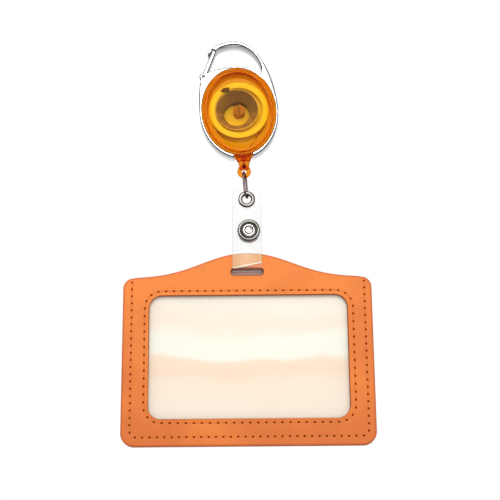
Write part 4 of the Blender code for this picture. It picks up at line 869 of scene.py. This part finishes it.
def strip(line):
    """Cross-sections of the spring's strip along a line."""
    line = [Vector(point) for point in line]
    front = SPOOL.front + 0.36 * MM
    rings = []
    for i, here in enumerate(line):
        side = left_of(direction(line, i)) * 0.05 * MM
        corners = ((here + side, 0.0), (here - side, 0.0), (here - side, SPRING.width), (here + side, SPRING.width))
        rings.append([(place.x, front + deep, place.y) for place, deep in corners])
    return rings


def reel_insides():
    profile = [
        (SPOOL.hole, SPOOL.floor), (SPOOL.pocket, SPOOL.floor), (SPOOL.pocket, SPOOL.front),
        (SPOOL.radius, SPOOL.front), (SPOOL.radius, SPOOL.front + SPOOL.flange),
        (SPOOL.drum, SPOOL.front + SPOOL.flange), (SPOOL.drum, SPOOL.back - SPOOL.flange),
        (SPOOL.radius, SPOOL.back - SPOOL.flange), (SPOOL.radius, SPOOL.back), (SPOOL.hole, SPOOL.back),
    ]
    spool = shape(add_turned, rounded(profile, 0.15 * MM), (0, 0), 128)
    new_piece("moulded_spool", spool, ("spool_plastic",), "spool", "spool", sharp=50.0, place=TO_WORLD)
    line = [polar(SPOOL.pocket - 0.2 * MM, HOOK_ANGLE)]
    count = SPRING_TURNS * 64
    for i, share in enumerate(steps(0, 1, count)):
        radius = SPRING.outer + (SPRING.inner - SPRING.outer) * share
        centre = ((-0.9 - 0.3 * share) * MM, (0.4 - 2.1 * share) * MM)
        line.append(polar(radius, HOOK_ANGLE - tau * i / 64, centre))
    line += [polar(radius * MM, radians(angle)) for radius, angle in ((4.7, 128), (4.2, 115), (3.6, 100), (3.2, 92))]
    tail = shape(add_skin, strip(in_mm((0, 3.1), (0, 2.7), (0, -1.3))))
    new_piece("spring_tail", tail, ("spring_steel",), "reel", None, place=TO_WORLD)
    rings = strip(line)
    # The outermost turn takes the lighter copy of the steel, a painted highlight
    spring = shape(add_skin, rings[:66], False, 1)
    add_skin(spring, rings[65:])
    # End of the strip, folded over the spool's rim, in a darker copy of the steel: painted shade
    centre = polar(11.9 * MM, HOOK_ANGLE)
    turn = HOOK_ANGLE - radians(112.0)
    tab = in_mm((-3.0, -0.5), (-1.3, -1.2), (1.7, -1.2), (1.5, 1.1), (-1.1, 1.2))
    tab = [turned(x, z, turn, centre) for x, z in tab]
    add_slab(spring, tab, (SPOOL.front - 0.14 * MM, SPOOL.front - 0.04 * MM), 2)
    looks = ("spring_steel", "bright_strip", "dark_strip")
    new_piece("wound_spring", spring, looks, "spool", "mainspring", place=TO_WORLD)


def room_at(outline, fillet):
    """How far each point of an outline can move inward, up to the fillet, before its two sides meet."""
    points = np.array(outline)
    gaps = np.hypot(*(points[:, None] - points[None]).transpose(2, 0, 1))
    runs = np.hypot(*(np.roll(points, -1, axis=0) - points).T)
    placed = np.concatenate([[0], np.cumsum(runs)[:-1]])
    along = np.abs(placed[:, None] - placed[None])
    along = np.minimum(along, runs.sum() - along)
    gaps[along <= gaps * 1.9] = 1.0
    room = np.minimum(gaps.min(1) * 0.40, fillet)
    return (room[None] + np.maximum(along - 2.0 * MM, 0) * 0.2).min(1)


def add_plate(build, outline, front, back, fillet, count=5):
    """A flat part between two depths. Its edges are rounded over and take the second look."""
    shares = room_at(outline, fillet) / fillet
    rings = []
    for side, face in ((-1, front), (1, back)):
        for turn in quarter(count)[::-side]:
            depth = face - side * fillet * (1 - cos(turn))
            shrunk = swollen(outline, -fillet * (1 - sin(turn)))
            rings.append([
                (ox + (x - ox) * share, depth, oz + (z - oz) * share)
                for (x, z), (ox, oz), share in zip(shrunk, outline, shares)
            ])
    start = len(build.faces)
    add_skin(build, rings)
    build.faces.ensure_lookup_table()
    for face in build.faces[start:]:
        middle = face.calc_center_median().y
        if 0.001 * MM < min(middle - front, back - middle) < fillet:
            face.material_index = 1


def carved(build, tools):
    """A bmesh with the shapes of others cut from it."""
    body, *cutters = (mesh_object("work", item) for item in (build, *tools))
    for cutter in cutters:
        change = body.modifiers.new("cut", "BOOLEAN")
        change.operation = "DIFFERENCE"
        change.solver = "EXACT"
        change.object = cutter
    mesh = bpy.data.meshes.new_from_object(body.evaluated_get(bpy.context.evaluated_depsgraph_get()))
    made = bmesh.new()
    made.from_mesh(mesh)
    for node_or_mesh in (mesh, body.data, *(cutter.data for cutter in cutters)):
        bpy.data.meshes.remove(node_or_mesh)
    return made


def gate_point(along, across, swing=0.0):
    """A point in the gate's own axes, from its pivot."""
    return turned(along, across, pi / 2 - GATE_LEAN - swing, GATE_PIVOT)


def ring_outline():
    """The snap ring from the front. Its loop opens at the gate, its reel seat at the neck."""
    seat = (SHELL.half_width + CLEARANCE, SHELL.half_height + CLEARANCE)
    neck, hole = (degrees(acos(RING.neck / wide)) for wide in (RING.half_width, seat[0]))
    outline = arcs(
        ((0, 0), RING.half_width, -neck, 0, 28, RING.drop),
        ((0, 0), RING.half_width, 0, 90, 40, RING.rise),
        ((0, RING.arc_foot), 17.6 * MM, 90, 130, 14, RING.rise - RING.arc_foot),
    )
    # Nose over the gate's end
    grip = 1.1 * MM
    end = GATE.length + CLEARANCE
    hooked = in_mm((2.05, 1.0), (3.6, 1.0), (4.0, 0.8), (4.1, 0.5), (4.1, 0.0), (0.0, 0.0))
    outline += [gate_point(end - back, grip + out) for back, out in hooked] + [gate_point(end, -GATE.half)]
    # Inside of the loop, down to the bar over the reel and the gate's ear
    bar = (seat[0] + 0.8 * MM, seat[1] + 0.8 * MM)
    outline += arcs(
        ((0, RING.arc_foot), 16.9 * MM, 116, 90, 14, RING.loop_top - RING.arc_foot),
        ((0, RING.arc_foot), 12.9 * MM, 90, 6, 28, RING.loop_top - RING.arc_foot),
        ((11.5 * MM, RING.arc_foot + 0.3 * MM), 1.4 * MM, -10, -110, 10),
        ((0, -SHELL.low), bar[0], 55, 90, 14, bar[1]),
    )
    reach = -GATE_PIVOT[0] - GATE.ear
    outline += [(-reach * i / 9, bar[1] - SHELL.low - 1.6 * MM * (i / 9) ** 2) for i in range(1, 10)]
    outline += arcs(
        (GATE_PIVOT, GATE.ear, 85, 185, 12),
        ((0, 0), RING.half_width, 154, 180, 10, 38.5 * MM),
        ((0, 0), RING.half_width, 180, 180 + neck, 28, RING.drop),
        ((0, -SHELL.low), seat[0], 180 + hole, -hole, 80, seat[1]),
    )
    kept = []
    for point in outline:
        if not kept or dist(point, kept[-1]) > 0.05 * MM:
            kept.append(point)
    return kept


def drum(radius, half_depth, count):
    """A cylinder round the gate's pivot."""
    return shape(add_turned, [(radius, -half_depth), (radius, half_depth)], GATE_PIVOT, count, True)


def snap_ring():
    """The cast ring, its fork cut free for the gate's whole swing, the gate and the pin."""
    half = GATE.half_depth + CLEARANCE
    room = GATE.knuckle + CLEARANCE
    reach = GATE.knuckle * 4
    wedge = [gate_point(0, room), gate_point(reach, room)]
    wedge += [gate_point(along, -GATE.half - CLEARANCE, GATE_SWING) for along in (reach, 0)]
    bore = GATE.pin + 0.1 * MM
    ring = shape(add_plate, ring_outline(), -RING.half_depth, RING.half_depth, RING.fillet)
    ring = carved(ring, [drum(room, half, 48), shape(add_slab, wedge, (-half, half)), drum(bore, 5 * MM, 32)])
    # The rounded edges take the dark copy of chrome, a painted reflection
    looks = ("chrome", "chrome_edge")
    new_piece("chrome_ring", ring, looks, "reel", "carabiner_frame", sharp=40.0, place=TO_WORLD)
    start = 90 - degrees(GATE_LEAN)
    outline = arc(GATE_PIVOT, GATE.knuckle, start + 35, start + 325, 32)
    for back, across in ((0.5, -1), (0, -0.5), (0, 0.5), (0.5, 1)):
        outline.append(gate_point(GATE.length - GATE.half * back, GATE.half * across))
    gate = shape(add_plate, outline, -GATE.half_depth, GATE.half_depth, 0.5 * MM)
    gate = carved(gate, [drum(room, 1.4 * MM, 48), drum(bore, 5 * MM, 32)])
    new_piece("gate_bar", gate, looks, "gate", "gate", sharp=40.0, place=TO_WORLD)
    front = in_mm((0.4, 0.14), (0.85, 0.098), (1.0, 0.02), (0.65, 0.02))
    profile = [(radius, -RING.half_depth - out) for radius, out in front]
    profile += [(radius, RING.half_depth + out) for radius, out in reversed(front)]
    pin = shape(add_turned, profile, GATE_PIVOT, 40, True)
    new_piece("pin", pin, ("pin_steel",), "reel", "gate_pin", 50.0, TO_WORLD)


def gate_coil():
    """The small coil on the pin. One leg lies along the gate's inside, the other in the fork."""
    wire = 0.35 * MM
    rise = pi / 2 - GATE_LEAN
    coil = []
    for share in steps(0, 1, 96):
        x, z = polar(GATE.pin + wire + GATE.gap, rise - pi / 2 - 2 * tau * share, GATE_PIVOT)
        coil.append(Vector((x, (1.6 * share - 0.8) * MM, z)))
    leg = Vector((cos(rise), 0, sin(rise))) * GATE.knuckle * 2
    points = [coil[0] + leg * share for share in (1.0, 0.5, 0.1)] + coil
    points += [coil[-1] - leg * share for share in (0.1, 0.3)]
    made = shape(add_tube, points, wire / 2, 12)
    piece = new_piece("gate_coil", made, ("spring_steel",), None, "gate_spring", place=TO_WORLD)
    ends = at_depth([gate_point(1.3 * MM, 0), gate_point(2.2 * MM, 0)], 0)
    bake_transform(piece)


def housing_oval(grow, depth, share=1.0):
    """A ring of the housing's own oval, made smaller by a share and then wider by a distance."""
    radii = (SHELL.half_width * share + grow, SHELL.half_height * share + grow)
    return oval(radii, depth, (0, -SHELL.low), 120)


def shell(build, side, crown):
    """Half of the housing. Side is -1 in front. Its looks are the face, the wall and the rim."""
    shoulder = SHELL.face - SHELL.round_depth
    within = SHELL.face - SHELL.wall
    outer = [(0.0, SHELL.parting), (0.0, SHELL.lip_depth), (SHELL.lip, SHELL.lip_depth), (SHELL.lip, shoulder)]
    for turn in quarter(6)[1:]:
        outer.append((SHELL.lip - SHELL.round_width * (1 - cos(turn)), shoulder + SHELL.round_depth * sin(turn)))
    outer += [(-away, SHELL.face - deep) for away, deep in in_mm((3.0, 0.0), (3.2, 0.12), (3.5, 0.12), (3.7, 0.0))]
    inner = [(-SHELL.wall - SHELL.inner_round, within)]
    for turn in quarter(6)[-2::-1]:
        inner.append((-SHELL.wall - SHELL.inner_round * (1 - cos(turn)), within - SHELL.inner_round * (1 - sin(turn))))
    inner.append((-SHELL.wall, SHELL.parting))
    rings = [housing_oval(grow, side * depth) for grow, depth in outer]
    for share in (0.7, 0.6, 0.5, 0.4, 0.3, 0.2, 0.1):
        rings.append(housing_oval(0.0, side * (SHELL.face + crown * (1 - (share / 0.78) ** 2)), share))
    cut = len(rings)
    rings += [housing_oval(grow, side * depth) for grow, depth in inner]
    loops = [[build.verts.new(point) for point in loop] for loop in rings]
    build.faces.new(loops[cut - 1])
    build.faces.new(loops[cut])
    for i, (first, second) in enumerate(zip(loops, loops[1:] + loops[:1])):
        if i == cut - 1:
            continue
        wall = i < 3 or i > len(loops) - 3
        for face in add_band(build, first, second):
            face.material_index = 2 if wall else abs(face.calc_center_median().y) < SHELL.face - 0.25 * MM


def housing():
    """The two tinted shells, the split post between them and the neck round the cord."""
    for name, side, crown, look, node in (
        ("front_shell", -1, SHELL.crown, "front_amber", "front_cover"),
        ("rear_shell", 1, 0.0, "rear_amber", "rear_cover"),
    ):
        looks = (look, "amber_wall", "amber_rim")
        new_piece(name, shape(shell, side, crown), looks, "reel", node, 50.0, TO_WORLD)
    post = bmesh.new()
    edge = degrees(asin(0.4 / 2.7))
    for turn in (0, 180):
        half_moon = arc((0, 0), 2.7 * MM, turn - 90 + edge, turn + 90 - edge, 24)
        add_plate(post, half_moon, -3.0 * MM, SPOOL.floor, 0.2 * MM, 3)
    add_turned(post, in_mm((2.68, 0.88), (2.68, 3.0), (3.6, 3.0), (3.6, 3.92)), (0, 0), 48, True)
    new_piece("post", post, ("amber_post", "amber_post"), "reel", None, 50.0, TO_WORLD)
    levels = in_mm(
        (3.85, 3.6, -20.9), (3.9, 3.7, -21.6), (3.9, 3.7, -22.3), (3.75, 3.55, -22.5), (3.75, 3.55, -22.7),
        (3.85, 3.65, -22.9), (3.45, 3.3, -23.8), (3.05, 3.05, -24.7), (2.8, 2.8, -25.0), (1.2, 1.2, -25.0),
        (1.2, 1.2, -20.9),
    )
    neck = shape(add_skin, [level(0, (wide, deep), rise, 64) for wide, deep, rise in levels], True)
    new_piece("neck", neck, ("amber_plastic",), "reel", None, sharp=40.0, place=TO_WORLD)


# ---- Cord and link

def add_tube(build, points, radius, sides=16):
    """A round wire along points, with closed ends."""
    points = [Vector(point) for point in points]
    side = direction(points, 0).orthogonal().normalized()
    rings = []
    for i, point in enumerate(points):
        run = direction(points, i)
        side = (side - run * side.dot(run)).normalized()
        over = run.cross(side)
        size = radius * (0.8 if i in (0, len(points) - 1) else 1.0)
        rings.append([point + (side * c + over * s) * size for c, s in turns(sides)])
    add_skin(build, rings)


def smooth_line(route, count):
    """Points along a smooth curve through a route's own points."""
    ends = [route[0] * 2 - route[1]] + route + [route[-1] * 2 - route[-2]]
    line = []
    for a, b, c, d in zip(ends, ends[1:], ends[2:], ends[3:]):
        for t in steps(0, 1, count)[:-1]:
            curve = b * 2 + (c - a) * t + (a * 2 - b * 5 + c * 4 - d) * t**2 + (b * 3 - a - c * 3 + d) * t**3
            line.append(curve / 2)
    return line + [route[-1]]


def cord():
    """The wound cord, its run through the neck, and the knot in the moulded eye."""
    lift = CLEARANCE + CORD.radius
    points = []
    for i in range(3 * 64 + 1):
        x, z = polar(SPOOL.drum + lift, LEAD_ANGLE + tau * (3 * 64 - i) / 64)
        points.append(Vector((x, SPOOL.front + SPOOL.flange + lift + CORD.pitch * i / 64, z)))
    run = Vector((sin(LEAD_ANGLE), 0, -cos(LEAD_ANGLE)))
    start = points[-1] + run * (CORD.lead + 0.05 * MM)
    points.append(points[-1] + run * CORD.lead)
    wound = shape(add_tube, points, CORD.radius)
    new_piece("wound_cord", wound, ("cord",), "spool", "cord_winding", place=TO_WORLD)
    route = [TO_WORLD @ start]
    for across, down, share in ((0.47, 0.53, 0.59), (0.80, 0.83, 0.22), (0.96, 1.0, 0.0)):
        place = Vector((start.x * (1 - across), start.y * share, start.z - (SHELL.half_height + start.z) * down))
        route.append(TO_WORLD @ place)
    knot = EYE.top - 1.7 * MM
    route += [Vector((CORD.across, 0, EYE.top + 1.5 * MM)), Vector((CORD.across, 0, knot + 0.9 * MM))]
    lead = new_piece("cord_run", shape(add_tube, smooth_line(route, 12), CORD.radius), ("cord",), None, "cord_lead")
    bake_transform(lead)
    loop = []
    for turn in steps(0, tau, 96):
        away = 0.48 * MM + 0.1 * MM * cos(3 * turn)
        loop.append((CORD.across + away * cos(2 * turn), away * sin(2 * turn), knot + 0.42 * MM * sin(3 * turn)))
    # The knot takes the darker copy of the cord, painted shade inside the eye
    new_piece("knot", shape(add_tube, loop, 0.27 * MM, 12), ("knotted_cord",), "cord_tip", "cord_knot")


def moulded_eye():
    """The cord's moulded end: a sleeve with the knot's room in it, and a ring for the link."""
    profile = in_mm(
        (1.0, 0.0), (2.3, 0.0), (2.55, -0.12), (2.6, -0.35), (2.55, -0.9), (2.4, -1.4), (2.4, -2.6), (2.2, -3.1),
        (1.2, -3.3), (1.15, -2.2), (1.15, -1.3), (0.55, -0.8), (0.55, 0.0),
    )
    eye = shape(add_skin, [level(CORD.across, (wide, wide), EYE.top + drop, 48) for wide, drop in profile], True)
    hoop = []
    for x, z in turns(64):
        hoop.append([])
        for out, deep in turns(24):
            away = EYE.ring + EYE.wire * out
            hoop[-1].append((EYE_RING_AT[0] + away * x, EYE.wire * deep, EYE_RING_AT[1] + away * z))
    add_skin(eye, hoop, True)
    new_piece("eye", eye, ("amber_plastic",), "cord_end", "cord_end", sharp=50.0)


def steel_link():
    """The long wire loop, its two ends butted in the middle of one side."""
    top = Vector((CORD.across, 0, LINK.top))
    foot = Vector((CHAIN_ACROSS, 0, LINK.foot))
    down = (foot - top).normalized()
    aside = Vector((sin(LINK_TWIST), cos(LINK_TWIST), 0.0))
    aside = (aside - down * aside.dot(down)).normalized()
    upper = top + down * LINK.bend
    lower = foot - down * LINK.bend
    seam = (upper + lower) / 2 + aside * LINK.bend
    points = [seam - down * 0.1 * MM]
    for centre, turn in ((upper, 0.0), (lower, pi)):
        for angle in steps(turn, turn + pi, 24):
            points.append(centre + (aside * cos(angle) - down * sin(angle)) * LINK.bend)
    points.append(seam + down * 0.1 * MM)
    new_piece("wire_link", shape(add_tube, points, LINK.wire, 20), ("steel",), "link", "link")


# ---- Strap

def eased(value, start, end):
    share = min(max((value - start) / (end - start), 0.0), 1.0)
    return share * share * (3 - 2 * share)


def spread(rise):
    """How far each layer stands out more than at the snap, towards the bar."""
    return (STRAP.set - STRAP.snap_set) * eased(rise, SNAP_AT[1] - SNAP.radius, STRAP.peak + STRAP.half)


def strap_set(rise):
    lift = eased(rise, SNAP_AT[1] + SNAP.radius, EYELET_AT[1] - EYELET_RADIUS)
    return STRAP.snap_set * (1 - lift) + spread(rise)


def rear_station(rise):
    return (STRAP.snap_set + spread(rise), rise, STRAP.half_width)


def add_strip(build, path):
    """A flat strip through (depth, height, half width) stations, soft at its edges."""
    half = STRAP.half
    soft = 0.1 * MM
    line = [station[:2] for station in path]
    rings = []
    for i, (depth, rise, wide) in enumerate(path):
        out = left_of(direction(line, i))
        section = [(soft - wide, half), (wide - soft, half), (wide, half - soft)]
        section += [(x, -away) for x, away in reversed(section[1:])] + [(soft - wide, -half)]
        section += [(-wide, soft - half), (-wide, half - soft)]
        rings.append([(CHAIN_ACROSS + x, depth + out.x * away, rise + out.y * away) for x, away in section])
    add_skin(build, rings)
    build.normal_update()
    for face in build.faces:
        # Faces down in the slot take the dark vinyl look: painted shade
        if face.calc_center_median().z < SLOT.top - 0.05 * MM:
            face.material_index = 2
        # Side faces take the grey edge look: painted shade
        elif abs(face.normal.x) > 0.4 or len(face.verts) > 4:
            face.material_index = 1


def corner_stations():
    """Distance from the strap's end and half width, round one of its corners."""
    return [
        (STRAP.corner * (1 - cos(turn)), STRAP.half_width - STRAP.corner * (1 - sin(turn))) for turn in quarter(12)
    ]


def strap():
    """The front layer down into the slot and up behind the bar, and the rear layer above it."""
    path = [(-strap_set(STRAP.top - away), STRAP.top - away, half) for away, half in corner_stations()]
    start = path[-1][1]
    turn_rise = SLOT.top - CLEARANCE - STRAP.half + STRAP.bend
    path += [(-strap_set(rise), rise, STRAP.half_width) for rise in steps(start, turn_rise, 60)[1:]]
    centre = STRAP.set - STRAP.bend
    for side in (-1, 1):
        for turn in quarter(10)[1:][::-side]:
            away, drop = polar(STRAP.bend, turn)
            path.append((side * (centre + away), turn_rise - drop, STRAP.half_width))
    path += [rear_station(rise) for rise in steps(turn_rise, FLAP.foot - 0.05 * MM, 14)]
    looks = ("clear_vinyl", "vinyl_edge", "vinyl_fold")
    eyelet_hole = shape(add_turned, in_mm((2.45, -5), (2.45, 1)), EYELET_AT, 64, True)
    snap_hole = shape(add_turned, in_mm((1.4, -5), (1.4, 0)), SNAP_AT, 48, True)
    front = carved(shape(add_strip, path), [eyelet_hole, snap_hole])
    piece = new_piece("clear_strap", front, looks, None, "strap", sharp=50.0)
    start, end = STRAP.turn + 1.0 * MM, STRAP.turn - 2.4 * MM
    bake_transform(piece)
    length = FLAP.top - STRAP.corner - FLAP.foot
    path = [rear_station(FLAP.foot + length * share**1.5) for share in steps(0, 1, 40)[:-1]]
    path += [(STRAP.snap_set, FLAP.top - away, half) for away, half in reversed(corner_stations())]
    flap_hole = shape(add_turned, in_mm((1.4, 0), (1.4, 5)), SNAP_AT, 48, True)
    rear = carved(shape(add_strip, path), [flap_hole])
    piece = new_piece("clear_flap", rear, looks, None, "strap_flap", sharp=50.0)
    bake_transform(piece)


camera()
surroundings()
area_light("key", (-0.12, -0.85, 0.32), 0.5, 2.9)
area_light("fill", (0.22, -0.85, 0.0), 0.4, 0.8)
make_looks()
floor()
dress_nodes()
leather_holder()
window_layers()
snap_and_eyelet()
reel_insides()
snap_ring()
gate_coil()
housing()
cord()
moulded_eye()
steel_link()
strap()
bpy.context.scene.view_settings.view_transform = "Standard"
